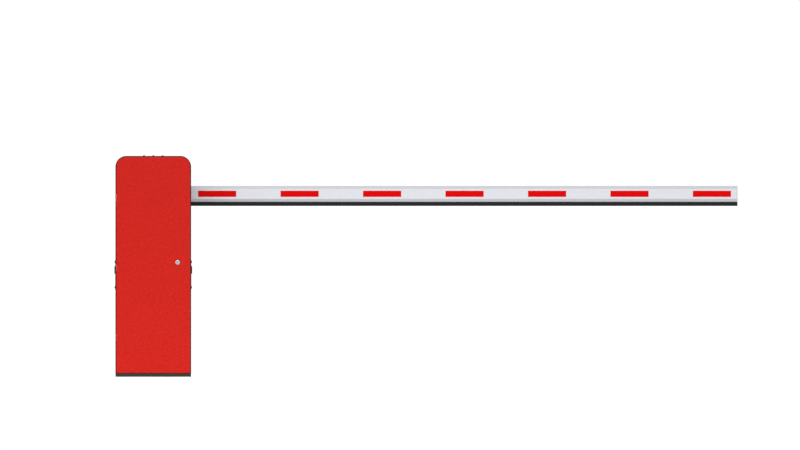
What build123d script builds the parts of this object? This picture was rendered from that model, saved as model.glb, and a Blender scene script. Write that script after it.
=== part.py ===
from build123d import *
from math import pi, radians, tan
import os

# Parking barrier gate: a sheet-steel cabinet with a swinging boom behind it.
# Millimetres. Origin at the middle of the cabinet's base on the floor, +X along the lowered boom,
# -Y towards the door, +Z up.

os.makedirs("parts", exist_ok=True)

# Cabinet
cabinet_width = 348.0
cabinet_depth = 285.0
cabinet_height = 1015.0
shell_wall = 2.5
shell_corner = 50.0
base_height = 15.0
base_plate = 6.0
base_wall = 4.0
flange_width = 22.0
flange_thickness = 2.5
front_flange_setback = 24.5
rain_lip = 14.0
rain_lip_wall = 2.0
rear_panel_thickness = 2.0
rear_panel_inset = 2.0
anchor_spacing_x = 250.0
anchor_spacing_y = 200.0
anchor_hole_radius = 7.0
entry_width = 120.0
entry_depth = 80.0
entry_corner = 15.0

# Door
door_gap = 1.5
door_inset = 1.5
door_skin = 1.5
door_fold = 18.0
door_edge_radius = 2.0
hinge_from_edge = 4.5
hinge_from_front = 5.5
hinge_pin_radius = 2.5
hinge_knuckle_radius = 3.9
hinge_knuckle_length = 30.0
hinge_heights = (180.0, 500.0, 820.0)
hinge_notch_spare = 6.0
door_swing_gap = 1.0
gasket_width = 12.0
gasket_gap = 0.4

# Lock
lock_x = 111.6
lock_z = 526.0
lock_bezel_radius = 11.0
lock_bezel_height = 4.0
lock_plug_radius = 5.5
lock_body_radius = 8.0
lock_cam_thickness = 3.0
lock_cam_reach = 50.0
lock_cam_width = 14.0

# Boom
boom_axis_z = 841.6
boom_height = 73.8
boom_depth = 40.0
boom_bevel_z = 13.8
boom_bevel_y = 13.0
boom_wall = 2.2
boom_reach = 2697.0
boom_root = 130.0
boom_cap = 4.0
boom_cap_plug = 25.0
slot_opening = 6.0
slot_width = 12.0
slot_depth = 5.0
rubber_height = 19.1
rubber_width = 14.0
rubber_start = 150.0
reflector_length = 176.0
reflector_height = 28.3
reflector_thickness = 0.5
reflector_first = 206.4
reflector_pitch = 380.7
reflector_count = 7

# Boom holder on the shaft behind the cabinet
holder_gap = 5.5
holder_hub_length = 12.0
holder_hub_radius = 42.0
holder_plate = 12.0
holder_length = 250.0
clamp_plate = 8.0
clamp_length = 220.0
clamp_bolt_radius = 6.0
clamp_bolt_spacing_x = 190.0
clamp_bolt_from_boom = 12.1
clamp_edge = 13.0

# Shaft, bearings and mechanism plate
shaft_radius = 20.0
key_width = 12.0
key_height = 8.0
key_depth_in_shaft = 5.0
shaft_opening = 32.0
plate_face_y = 105.0
plate_thickness = 6.0
plate_width = 260.0
plate_foot_width = 190.0
plate_foot_depth = 50.0
plate_slot_heights = (382.0, 690.0)
plate_slot_length = 90.0
plate_slot_width = 40.0
housing_length = 85.0
housing_wall = 10.0
housing_ear = 15.0
housing_flange_thickness = 12.0
race_wall = 5.5
race_step = 4.5
bearing_width = 18.0
bearing_ball_radius = 6.0
bearing_ball_count = 9
race_clearance = 0.1
running_clearance = 0.05

# Linkage: a parallelogram of equal crank and rocker
arm_radius = 100.0
arm_width = 36.0
arm_thickness = 18.0
arm_front_y = -4.0
rocker_hub_radius = 36.0
crank_hub_radius = 30.0
rod_gap = 4.0
rod_eye_radius = 20.0
rod_eye_width = 16.0
rod_bar_radius = 10.0
bush_radius = 12.0
pin_radius = 8.0
open_pivot_clearance = 0.4
part_gap = 0.3
rest_angle = -45.0

# Gearbox and motor
output_z = 491.0
worm_offset = 63.0
gear_y = 45.0
output_shaft_radius = 15.0
wheel_radius = 43.0
wheel_width = 26.0
wheel_teeth = 36
worm_radius = 19.5
worm_shaft_radius = 9.0
gearbox_front_y = 20.0
gearbox_cover_thickness = 8.0
gearbox_radius = 56.0
gearbox_wall = 8.0
gearbox_half_height = 62.0
motor_radius = 50.0
motor_wall = 6.0
motor_fin_radius = 58.0
motor_fin_count = 24
motor_fin_thickness = 2.5
motor_length = 167.0
motor_flange_radius = 59.0
motor_flange_thickness = 12.0
fan_cover_length = 40.0
fan_cover_wall = 1.5
fan_radius = 48.0
hand_wheel_radius = 34.0
hand_wheel_thickness = 16.0

# Balance springs
spring_radius = 16.0
spring_wire = 5.0
spring_offset_y = 28.0
spring_anchor_z = 618.0
spring_hook_radius = 11.0
spring_anchor_plate_z = 575.0

# Stops
stop_contact = 60.0
buffer_radius = 10.0
buffer_length = 15.0

# Control gear
controller_width = 116.0
controller_height = 210.0
controller_depth = 60.0
controller_x = 70.0
controller_z = 280.0
controller_lid_depth = 12.0
rail_z = 82.0
rail_height = 35.0
rail_depth = 7.5
module_height = 90.0
module_depth = 60.0

# Safety photocells in the side walls
cell_y = -70.0
cell_plate_width = 52.0
cell_plate_height = 140.0
cell_plate_thickness = 1.0
cell_z = 469.5
cell_screw_z = (411.0, 528.0)
cell_screw_radius = 5.0
cell_screw_height = 3.0
cell_screw_length = 12.0
cell_lens_z = (483.0, 499.0)
cell_lens_radius = 7.8
cell_lens_height = 4.0
cell_box_depth = 30.0

# Fasteners
bolt_radius = 5.0
bolt_head_radius = 9.0
bolt_head_height = 6.4
roof_screw_pitch = 42.8
roof_screw_setback = 12.0
roof_screw_head_radius = 4.6
roof_screw_head_height = 4.0
roof_screw_radius = 2.5
bolt_edge = 12.0
foot_bolt_inset = 20.0
panel_screw_length = 12.0

# Values that follow from the driving dimensions
half_width = cabinet_width / 2
half_depth = cabinet_depth / 2
clamp_bolt_spacing_z = boom_height + 2 * clamp_bolt_from_boom
holder_height = clamp_bolt_spacing_z + 2 * clamp_edge
race_inner = shaft_radius + race_wall
bearing_ball_circle = race_inner + race_step
race_outer = bearing_ball_circle + race_step
bearing_outer_radius = race_outer + race_wall
housing_radius = bearing_outer_radius + housing_wall
housing_flange = 2 * (housing_radius + housing_ear)
door_front_y = -half_depth + door_inset
door_width = cabinet_width - 2 * (shell_wall + door_gap)
door_bottom = base_height + door_gap
door_top = cabinet_height - shell_wall - door_gap
door_corner = shell_corner - shell_wall - door_gap
hinge_x = -door_width / 2 + hinge_from_edge
hinge_y = door_front_y + hinge_from_front
front_flange_y = -half_depth + front_flange_setback
shell_front_y = hinge_y + hinge_from_edge + door_swing_gap
rear_panel_y = half_depth - rear_panel_inset - rear_panel_thickness
plate_back_y = plate_face_y + plate_thickness
housing_front_y = plate_face_y - housing_length
holder_face_y = half_depth + holder_gap
boom_front_y = holder_face_y + holder_hub_length + holder_plate
boom_back_y = boom_front_y + boom_depth
boom_mid_y = boom_front_y + boom_depth / 2
arm_back_y = arm_front_y + arm_thickness
rod_back_y = arm_front_y - rod_gap
rod_front_y = rod_back_y - rod_eye_width
diagonal = arm_radius * 0.5 ** 0.5
foot_bolt_pitch = plate_foot_width - 2 * foot_bolt_inset
motor_top_z = output_z - gearbox_half_height
motor_bottom_z = motor_top_z - motor_length
fan_cover_bottom_z = motor_bottom_z - fan_cover_length
roof_z = cabinet_height - shell_wall


def across(y):
    """Upright plane across the cabinet at depth y, whose extrusions run towards the door."""
    return Plane.XZ.offset(-y)


def outline(inset, bottom):
    """Front outline of the cabinet, moved in by inset: a box with two round top corners."""
    top = cabinet_height - inset
    side = half_width - inset
    corner = shell_corner - inset
    with BuildLine() as line:
        Polyline((-side, top - corner), (-side, bottom), (side, bottom), (side, top - corner))
        Line((-side + corner, top), (side - corner, top))
        RadiusArc((-side, top - corner), (-side + corner, top), corner)
        RadiusArc((side - corner, top), (side, top - corner), corner)
    return line.line


# ---- Cabinet -------------------------------------------------------------------------------------

# Base tray: steel plate with an upright rim, four anchor holes and the cable entry.
with BuildPart() as base_tray:
    with BuildSketch(Plane.XY):
        Rectangle(cabinet_width, cabinet_depth)
    extrude(amount=base_height)
    with BuildSketch(Plane.XY.offset(base_height)):
        Rectangle(cabinet_width - 2 * base_wall, cabinet_depth - 2 * base_wall)
    extrude(amount=base_plate - base_height, mode=Mode.SUBTRACT)
    with BuildSketch(Plane.XY.offset(base_plate)):
        RectangleRounded(entry_width, entry_depth, entry_corner)
        with GridLocations(anchor_spacing_x, anchor_spacing_y, 2, 2):
            Circle(anchor_hole_radius)
    extrude(amount=-base_plate, mode=Mode.SUBTRACT)
    foot_bolts_y = plate_face_y - plate_foot_depth / 2
    with BuildSketch(Plane.XY.offset(base_plate)):
        with Locations((0, foot_bolts_y)):
            with GridLocations(foot_bolt_pitch, 0, 2, 1):
                Circle(bolt_radius)
    extrude(amount=-base_plate, mode=Mode.SUBTRACT)
base_tray.part.label = "base_tray"
export_step(base_tray.part, "parts/base_tray.step")

# Cabinet shell: one folded sheet round the sides and roof, with a front frame and rain lip for the
# door and a rear frame for the rear panel.
panel_bolt_x = half_width - shell_wall - flange_width / 2
panel_bolt_z = (45.0, 345.0, 645.0, 930.0)
panel_bolts = [(side * panel_bolt_x, z) for side in (-1, 1) for z in panel_bolt_z]
cell_window_y = cell_plate_width - 12
cell_window_z = cell_plate_height - 40
with BuildPart() as cabinet_shell:
    with BuildSketch(across(half_depth)):
        make_face(outline(0, base_height))
        make_face(outline(shell_wall, base_height - 1), mode=Mode.SUBTRACT)
    extrude(amount=half_depth - shell_front_y)
    with BuildSketch(across(front_flange_y + flange_thickness)):
        make_face(outline(shell_wall, base_height))
        make_face(outline(shell_wall + flange_width, base_height + flange_width), mode=Mode.SUBTRACT)
    extrude(amount=flange_thickness)
    lip_inset = shell_wall + flange_width - rain_lip_wall
    with BuildSketch(across(front_flange_y)):
        make_face(outline(lip_inset, base_height + flange_width - rain_lip_wall))
        make_face(outline(shell_wall + flange_width, base_height + flange_width), mode=Mode.SUBTRACT)
    extrude(amount=rain_lip)
    with BuildSketch(across(rear_panel_y)):
        make_face(outline(shell_wall, base_height))
        make_face(outline(shell_wall + flange_width, base_height + flange_width), mode=Mode.SUBTRACT)
    extrude(amount=flange_thickness)
    with BuildSketch(across(rear_panel_y)):
        with Locations(*panel_bolts):
            Circle(roof_screw_radius)
    extrude(amount=flange_thickness, mode=Mode.SUBTRACT)
    with BuildSketch(Plane.XY.offset(cabinet_height)):
        with Locations((0, plate_face_y - roof_screw_setback)):
            with GridLocations(roof_screw_pitch, 0, 3, 1):
                Circle(roof_screw_radius)
    extrude(amount=-shell_wall, mode=Mode.SUBTRACT)
    with BuildSketch(Plane.YZ.offset(-half_width - 1)):
        with Locations((cell_y, cell_z)):
            Rectangle(cell_window_y, cell_window_z)
        with Locations(*[(cell_y, z) for z in cell_screw_z]):
            Circle(roof_screw_radius)
    extrude(amount=cabinet_width + 2, mode=Mode.SUBTRACT)
cabinet_shell.part.label = "cabinet_shell"
export_step(cabinet_shell.part, "parts/cabinet_shell.step")

# Rear panel: flat sheet on the rear frame, with the opening for the shaft.
panel_inset = shell_wall + door_gap
with BuildPart() as rear_panel:
    with BuildSketch(across(rear_panel_y + rear_panel_thickness)):
        make_face(outline(panel_inset, door_bottom))
        with Locations((0, boom_axis_z)):
            Circle(shaft_opening, mode=Mode.SUBTRACT)
    extrude(amount=rear_panel_thickness)
    with BuildSketch(across(rear_panel_y + rear_panel_thickness)):
        with Locations(*panel_bolts):
            Circle(roof_screw_radius)
    extrude(amount=rear_panel_thickness, mode=Mode.SUBTRACT)
rear_panel.part.label = "rear_panel"
export_step(rear_panel.part, "parts/rear_panel.step")

# Screws that hold the rear panel: pan heads outside, shanks through the rear frame.
with BuildPart() as rear_panel_screws:
    with BuildSketch(across(rear_panel_y + rear_panel_thickness + roof_screw_head_height)):
        with Locations(*panel_bolts):
            Circle(roof_screw_head_radius)
    extrude(amount=roof_screw_head_height)
    with BuildSketch(across(rear_panel_y + rear_panel_thickness)):
        with Locations(*panel_bolts):
            Circle(roof_screw_radius - running_clearance)
    extrude(amount=panel_screw_length)
rear_panel_screws.part.label = "rear_panel_screws"
export_step(rear_panel_screws.part, "parts/rear_panel_screws.step")

# Roof screws: three pan heads on the roof, into the brace below.
with BuildPart() as roof_screws:
    with BuildSketch(Plane.XY.offset(cabinet_height)):
        with Locations((0, plate_face_y - roof_screw_setback)):
            with GridLocations(roof_screw_pitch, 0, 3, 1):
                Circle(roof_screw_head_radius)
    extrude(amount=roof_screw_head_height)
    fillet(roof_screws.faces().group_by(Axis.Z)[-1].edges(), radius=1.6)
    with BuildSketch(Plane.XY.offset(cabinet_height)):
        with Locations((0, plate_face_y - roof_screw_setback)):
            with GridLocations(roof_screw_pitch, 0, 3, 1):
                Circle(roof_screw_radius - running_clearance)
    extrude(amount=-panel_screw_length)
roof_screws.part.label = "roof_screws"
export_step(roof_screws.part, "parts/roof_screws.step")

# Roof brace: steel angle that ties the top of the mechanism plate to the roof.
brace_leg = 25.0
brace_wall = 3.0
brace_length = cabinet_width - 2 * shell_corner
with BuildPart() as roof_brace:
    with BuildSketch(Plane.YZ.offset(-brace_length / 2)):
        with BuildLine():
            Polyline(
                (plate_face_y - brace_leg, roof_z),
                (plate_face_y, roof_z),
                (plate_face_y, roof_z - brace_leg),
                (plate_face_y - brace_wall, roof_z - brace_leg),
                (plate_face_y - brace_wall, roof_z - brace_wall),
                (plate_face_y - brace_leg, roof_z - brace_wall),
                close=True,
            )
        make_face()
    extrude(amount=brace_length)
    with BuildSketch(Plane.XY.offset(roof_z)):
        with Locations((0, plate_face_y - roof_screw_setback)):
            with GridLocations(roof_screw_pitch, 0, 3, 1):
                Circle(roof_screw_radius)
    extrude(amount=-brace_wall, mode=Mode.SUBTRACT)
roof_brace.part.label = "roof_brace"
export_step(roof_brace.part, "parts/roof_brace.step")

# ---- Mechanism plate and bearings ----------------------------------------------------------------

housing_bolt = housing_flange / 2 - housing_ear
housing_bolts = [
    (x, boom_axis_z + z) for x in (-housing_bolt, housing_bolt) for z in (-housing_bolt, housing_bolt)
]
gear_flange_left = -worm_offset - worm_radius - gearbox_wall
gear_flange_right = gearbox_radius
gear_bolts = [
    (x, output_z + z)
    for x in (gear_flange_left + bolt_edge, gear_flange_right - bolt_edge)
    for z in (-gearbox_half_height + bolt_edge, gearbox_half_height - bolt_edge)
]
bolt_pair = (-20.0, 20.0)
stop_bolt_rise = 110.0
anchor_bolt_rise = 32.0
stop_bolts = [(x, boom_axis_z + stop_bolt_rise) for x in bolt_pair]
anchor_bolts = [(-diagonal + x, spring_anchor_plate_z + anchor_bolt_rise) for x in bolt_pair]
plate_bolts = housing_bolts + gear_bolts + stop_bolts + anchor_bolts

# Mechanism plate: thick steel plate on a welded foot, which carries the whole drive.
plate_top = roof_z - 6.0
with BuildPart() as mechanism_plate:
    with BuildSketch(across(plate_back_y)):
        with Locations((0, (base_plate + plate_top) / 2)):
            Rectangle(plate_width, plate_top - base_plate)
        with Locations((0, boom_axis_z)):
            Circle(shaft_opening, mode=Mode.SUBTRACT)
        with Locations(*plate_bolts):
            Circle(bolt_radius, mode=Mode.SUBTRACT)
        with Locations(*[(0, z) for z in plate_slot_heights]):
            SlotOverall(plate_slot_length, plate_slot_width, mode=Mode.SUBTRACT)
    extrude(amount=plate_thickness)
    with BuildSketch(Plane.XY.offset(base_plate)):
        with Locations((0, plate_face_y - plate_foot_depth / 2)):
            Rectangle(plate_foot_width, plate_foot_depth)
            with GridLocations(foot_bolt_pitch, 0, 2, 1):
                Circle(bolt_radius, mode=Mode.SUBTRACT)
    extrude(amount=plate_thickness)
mechanism_plate.part.label = "mechanism_plate"
export_step(mechanism_plate.part, "parts/mechanism_plate.step")

# Hexagon bolts of one size: housing, gearbox, stop bracket, spring anchor and plate foot.
anchor_leg = 8.0
stop_foot = 6.0
bolt_groups = (
    (housing_bolts, housing_flange_thickness),
    (gear_bolts, housing_flange_thickness),
    (stop_bolts, stop_foot),
    (anchor_bolts, anchor_leg),
)
with BuildPart() as frame_bolts:
    for places, grip in bolt_groups:
        with BuildSketch(across(plate_face_y - grip)):
            with Locations(*places):
                RegularPolygon(bolt_head_radius, 6)
        extrude(amount=bolt_head_height)
        with BuildSketch(across(plate_back_y)):
            with Locations(*places):
                Circle(bolt_radius - running_clearance)
        extrude(amount=grip + plate_thickness)
    with BuildSketch(Plane.XY.offset(base_plate + plate_thickness)):
        with Locations((0, foot_bolts_y)):
            with GridLocations(foot_bolt_pitch, 0, 2, 1):
                RegularPolygon(bolt_head_radius, 6)
    extrude(amount=bolt_head_height)
    with BuildSketch(Plane.XY.offset(base_plate + plate_thickness)):
        with Locations((0, foot_bolts_y)):
            with GridLocations(foot_bolt_pitch, 0, 2, 1):
                Circle(bolt_radius - running_clearance)
    extrude(amount=-base_plate - plate_thickness + 1.0)
frame_bolts.part.label = "frame_bolts"
export_step(frame_bolts.part, "parts/frame_bolts.step")

# Bearing housing: cast tube on a square flange, with a bearing seat at each end.
with BuildPart() as bearing_housing:
    with BuildSketch(across(plate_face_y)):
        with Locations((0, boom_axis_z)):
            RectangleRounded(housing_flange, housing_flange, 12.0)
        with Locations(*housing_bolts):
            Circle(bolt_radius, mode=Mode.SUBTRACT)
    extrude(amount=housing_flange_thickness)
    with BuildSketch(across(plate_face_y - housing_flange_thickness)):
        with Locations((0, boom_axis_z)):
            Circle(housing_radius)
    extrude(amount=housing_length - housing_flange_thickness)
    rib_edges = bearing_housing.edges().filter_by(GeomType.CIRCLE).sort_by(Axis.Y)[0]
    chamfer(rib_edges, length=2.0)
    with BuildSketch(across(plate_face_y)):
        with Locations((0, boom_axis_z)):
            Circle(bearing_outer_radius - 6.0)
    extrude(amount=housing_length, mode=Mode.SUBTRACT)
    for seat_y in (plate_face_y, housing_front_y + bearing_width):
        with BuildSketch(across(seat_y)):
            with Locations((0, boom_axis_z)):
                Circle(bearing_outer_radius)
        extrude(amount=bearing_width, mode=Mode.SUBTRACT)
bearing_housing.part.label = "bearing_housing"
export_step(bearing_housing.part, "parts/bearing_housing.step")

# Two deep-groove ball bearings: outer rings, balls and inner rings.
bearing_backs = (plate_face_y, housing_front_y + bearing_width)


def ball_centre(back_y):
    """Middle of a bearing, with its own Z along the shaft."""
    return Plane(origin=(0, back_y - bearing_width / 2, boom_axis_z), z_dir=(0, 1, 0))


with BuildPart() as bearing_outer_rings:
    for back_y in bearing_backs:
        with BuildSketch(across(back_y)):
            with Locations((0, boom_axis_z)):
                Circle(bearing_outer_radius)
                Circle(race_outer, mode=Mode.SUBTRACT)
        extrude(amount=bearing_width)
        with Locations(ball_centre(back_y)):
            Torus(bearing_ball_circle, bearing_ball_radius + race_clearance, mode=Mode.SUBTRACT)
bearing_outer_rings.part.label = "bearing_outer_rings"
export_step(bearing_outer_rings.part, "parts/bearing_outer_rings.step")

with BuildPart() as bearing_inner_rings:
    for back_y in bearing_backs:
        with BuildSketch(across(back_y)):
            with Locations((0, boom_axis_z)):
                Circle(race_inner)
                Circle(shaft_radius, mode=Mode.SUBTRACT)
        extrude(amount=bearing_width)
        with Locations(ball_centre(back_y)):
            Torus(bearing_ball_circle, bearing_ball_radius + race_clearance, mode=Mode.SUBTRACT)
bearing_inner_rings.part.label = "bearing_inner_rings"
export_step(bearing_inner_rings.part, "parts/bearing_inner_rings.step")

with BuildPart() as bearing_balls:
    for back_y in bearing_backs:
        with Locations(ball_centre(back_y)):
            with PolarLocations(bearing_ball_circle, bearing_ball_count):
                Sphere(bearing_ball_radius)
bearing_balls.part.label = "bearing_balls"
export_step(bearing_balls.part, "parts/bearing_balls.step")

# Plastic ring that closes the panel's opening round the shaft.
shaft_ring_thickness = 5.0
with BuildPart() as shaft_ring:
    with BuildSketch(across(rear_panel_y + rear_panel_thickness + shaft_ring_thickness)):
        with Locations((0, boom_axis_z)):
            Circle(shaft_opening + 16.0)
            Circle(shaft_radius + 1.0, mode=Mode.SUBTRACT)
    extrude(amount=shaft_ring_thickness)
    fillet(shaft_ring.faces().sort_by(Axis.Y)[-1].edges().sort_by(SortBy.LENGTH)[-1], radius=2.0)
shaft_ring.part.label = "shaft_ring"
export_step(shaft_ring.part, "parts/shaft_ring.step")

# Stop bracket: wedge above the rocker, whose two buffers meet the arms at the ends of the swing.
wedge_apex = (arm_width / 2 + part_gap + buffer_length) * 2 ** 0.5
wedge_half = 35.0
wedge_top = wedge_apex + wedge_half + 13.0
with BuildPart() as stop_bracket:
    with BuildSketch(across(arm_back_y)):
        with BuildLine():
            Polyline(
                (0, boom_axis_z + wedge_apex),
                (wedge_half, boom_axis_z + wedge_apex + wedge_half),
                (wedge_half, boom_axis_z + wedge_top),
                (-wedge_half, boom_axis_z + wedge_top),
                (-wedge_half, boom_axis_z + wedge_apex + wedge_half),
                close=True,
            )
        make_face()
    extrude(amount=arm_thickness)
    with BuildSketch(across(plate_face_y)):
        with Locations((0, boom_axis_z + wedge_top - 6.5)):
            Rectangle(2 * wedge_half, 13.0)
    extrude(amount=plate_face_y - arm_back_y)
    with BuildSketch(across(plate_face_y)):
        with Locations((0, boom_axis_z + wedge_top + 15.0)):
            Rectangle(2 * wedge_half, 30.0)
        with Locations(*stop_bolts):
            Circle(bolt_radius, mode=Mode.SUBTRACT)
    extrude(amount=stop_foot)
stop_bracket.part.label = "stop_bracket"
export_step(stop_bracket.part, "parts/stop_bracket.step")

arm_mid_y = arm_front_y + arm_thickness / 2
half_root = 0.5 ** 0.5
with BuildPart() as stop_buffers:
    for side in (-1, 1):
        face_x = side * (stop_contact - arm_width / 2 - part_gap) * half_root
        face_z = boom_axis_z + (stop_contact + arm_width / 2 + part_gap) * half_root
        face = Plane(origin=(face_x, arm_mid_y, face_z), z_dir=(-side, 0, 1))
        with BuildSketch(face):
            Circle(buffer_radius - 1.0)
        extrude(amount=buffer_length)
stop_buffers.part.label = "stop_buffers"
export_step(stop_buffers.part, "parts/stop_buffers.step")

# ---- Shaft, rocker and boom ----------------------------------------------------------------------

rocker_keys = (arm_front_y + 1.0, arm_back_y - 1.0)
holder_keys = (holder_face_y + 1.0, holder_face_y + holder_hub_length + holder_plate - 5.0)
key_top = shaft_radius - key_depth_in_shaft + key_height
shaft_end_y = boom_front_y - 4.0

with BuildPart() as shaft_keys:
    for front_y, back_y in (rocker_keys, holder_keys):
        with BuildSketch(across(back_y)):
            with Locations((0, boom_axis_z + key_top - key_height / 2)):
                Rectangle(key_width, key_height)
        extrude(amount=back_y - front_y)
shaft_keys.part.label = "shaft_keys"
export_step(shaft_keys.part, "parts/shaft_keys.step")

# Main shaft: from the rocker through both bearings to the boom holder.
with BuildPart() as main_shaft:
    with BuildSketch(across(shaft_end_y)):
        with Locations((0, boom_axis_z)):
            Circle(shaft_radius)
    extrude(amount=shaft_end_y - arm_front_y)
    chamfer(main_shaft.edges().filter_by(GeomType.CIRCLE), length=1.0)
    add(shaft_keys.part, mode=Mode.SUBTRACT)
main_shaft.part.label = "main_shaft"
export_step(main_shaft.part, "parts/main_shaft.step")

# Rocker arm: one arm drives the boom, the other one hangs on the balance springs.
with BuildPart() as rocker_arm:
    with BuildSketch(across(arm_back_y)):
        with Locations((0, boom_axis_z)):
            SlotCenterToCenter(2 * arm_radius, arm_width, rotation=rest_angle)
            Circle(rocker_hub_radius)
            Circle(shaft_radius, mode=Mode.SUBTRACT)
        with Locations((diagonal, boom_axis_z - diagonal), (-diagonal, boom_axis_z + diagonal)):
            Circle(pin_radius, mode=Mode.SUBTRACT)
    extrude(amount=arm_thickness)
    outer_edges = rocker_arm.faces().sort_by(Axis.Y)[0].outer_wire().edges()
    chamfer(outer_edges, length=1.5)
    add(shaft_keys.part, mode=Mode.SUBTRACT)
rocker_arm.part.label = "rocker_arm"
export_step(rocker_arm.part, "parts/rocker_arm.step")

# Pins pressed into the rocker: a short one for the rod, a long one for both springs.
pin_head_radius = 12.0
pin_head = 4.0
spring_pin_head_radius = 10.0
spring_pin_spare = 8.0
spring_front_y = arm_mid_y - spring_offset_y
spring_back_y = arm_mid_y + spring_offset_y
pin_front_y = rod_front_y - 0.5
with BuildPart() as rocker_pins:
    with BuildSketch(across(arm_back_y)):
        with Locations((diagonal, boom_axis_z - diagonal)):
            Circle(pin_radius)
    extrude(amount=arm_back_y - pin_front_y)
    with BuildSketch(across(pin_front_y)):
        with Locations((diagonal, boom_axis_z - diagonal)):
            Circle(pin_head_radius)
    extrude(amount=pin_head)
    with BuildSketch(across(spring_back_y + spring_pin_spare)):
        with Locations((-diagonal, boom_axis_z + diagonal)):
            Circle(pin_radius)
    extrude(amount=2 * (spring_offset_y + spring_pin_spare))
    for head_y in (spring_back_y + spring_pin_spare + pin_head, spring_front_y - spring_pin_spare):
        with BuildSketch(across(head_y)):
            with Locations((-diagonal, boom_axis_z + diagonal)):
                Circle(spring_pin_head_radius)
        extrude(amount=pin_head)
rocker_pins.part.label = "rocker_pins"
export_step(rocker_pins.part, "parts/rocker_pins.step")

clamp_bolt_grid = [
    (x, boom_axis_z + z)
    for x in (-clamp_bolt_spacing_x / 2, clamp_bolt_spacing_x / 2)
    for z in (-clamp_bolt_spacing_z / 2, clamp_bolt_spacing_z / 2)
]

# Boom holder: cast plate with a hub, keyed on the shaft's rear end.
with BuildPart() as boom_holder:
    with BuildSketch(across(boom_front_y)):
        with Locations((0, boom_axis_z)):
            RectangleRounded(holder_length, holder_height, 16.0)
        with Locations(*clamp_bolt_grid):
            Circle(clamp_bolt_radius, mode=Mode.SUBTRACT)
    extrude(amount=holder_plate)
    chamfer(boom_holder.faces().sort_by(Axis.Y)[0].outer_wire().edges(), length=2.5)
    with BuildSketch(across(boom_front_y - holder_plate)):
        with Locations((0, boom_axis_z)):
            Circle(holder_hub_radius)
    extrude(amount=holder_hub_length)
    with BuildSketch(across(shaft_end_y)):
        with Locations((0, boom_axis_z)):
            Circle(shaft_radius)
    extrude(amount=shaft_end_y - holder_face_y, mode=Mode.SUBTRACT)
    add(shaft_keys.part, mode=Mode.SUBTRACT)
boom_holder.part.label = "boom_holder"
export_step(boom_holder.part, "parts/boom_holder.step")

# Clamp plate behind the boom, with two lips that keep the boom square.
clamp_lip = 14.0
clamp_lip_wall = 5.0
with BuildPart() as boom_clamp:
    with BuildSketch(across(boom_back_y + clamp_plate)):
        with Locations((0, boom_axis_z)):
            RectangleRounded(clamp_length, holder_height, 14.0)
        with Locations(*clamp_bolt_grid):
            Circle(clamp_bolt_radius, mode=Mode.SUBTRACT)
    extrude(amount=clamp_plate)
    chamfer(boom_clamp.faces().sort_by(Axis.Y)[-1].outer_wire().edges(), length=2.0)
    with BuildSketch(across(boom_back_y)):
        for side in (-1, 1):
            lip_z = boom_height / 2 + part_gap + clamp_lip_wall / 2
            with Locations((0, boom_axis_z + side * lip_z)):
                Rectangle(clamp_bolt_spacing_x - 4 * clamp_bolt_radius, clamp_lip_wall)
    extrude(amount=clamp_lip)
boom_clamp.part.label = "boom_clamp"
export_step(boom_clamp.part, "parts/boom_clamp.step")

clamp_head = 7.5
clamp_head_radius = 10.4
clamp_washer = 2.0
clamp_nut = 10.0
with BuildPart() as clamp_bolts:
    with BuildSketch(across(boom_back_y + clamp_plate + clamp_washer)):
        with Locations(*clamp_bolt_grid):
            Circle(clamp_head_radius + 1.5)
    extrude(amount=clamp_washer)
    with BuildSketch(across(boom_back_y + clamp_plate + clamp_washer + clamp_head)):
        with Locations(*clamp_bolt_grid):
            RegularPolygon(clamp_head_radius, 6)
    extrude(amount=clamp_head)
    with BuildSketch(across(boom_back_y + clamp_plate + clamp_washer)):
        with Locations(*clamp_bolt_grid):
            Circle(clamp_bolt_radius - running_clearance)
    extrude(amount=clamp_plate + clamp_washer + boom_depth + holder_plate)
clamp_bolts.part.label = "clamp_bolts"
export_step(clamp_bolts.part, "parts/clamp_bolts.step")

half_boom = boom_height / 2
half_deep = boom_depth / 2


def boom_section(inset):
    """Corner points of the boom's eight-sided section, moved in by inset, from its own middle."""
    flat_z = half_boom - boom_bevel_z - inset * 0.45
    flat_y = half_deep - boom_bevel_y - inset * 0.40
    side_y = half_deep - inset
    top_z = half_boom - inset
    return [
        (-side_y, -flat_z), (-side_y, flat_z), (-flat_y, top_z), (flat_y, top_z),
        (side_y, flat_z), (side_y, -flat_z), (flat_y, -top_z), (-flat_y, -top_z),
    ]


# Boom: extruded eight-sided tube with a T-slot along its lower edge.
boom_root_plane = Plane(
    origin=(-boom_root, boom_mid_y, boom_axis_z), x_dir=(0, 1, 0), z_dir=(1, 0, 0)
)
boom_length = boom_reach - boom_cap + boom_root
slot_wall = 2.0
slot_base = -half_boom + boom_wall
with BuildPart() as boom_profile:
    with BuildSketch(boom_root_plane):
        Polygon(*boom_section(0), align=None)
        Polygon(*boom_section(boom_wall), align=None, mode=Mode.SUBTRACT)
        with Locations((0, slot_base + (slot_depth + slot_wall) / 2)):
            Rectangle(slot_width + 2 * slot_wall, slot_depth + slot_wall)
        with Locations((0, slot_base + slot_depth / 2)):
            Rectangle(slot_width, slot_depth, mode=Mode.SUBTRACT)
        with Locations((0, -half_boom + boom_wall / 2)):
            Rectangle(slot_opening, boom_wall, mode=Mode.SUBTRACT)
    extrude(amount=boom_length)
boom_profile.part.label = "boom_profile"
export_step(boom_profile.part, "parts/boom_profile.step")

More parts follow.
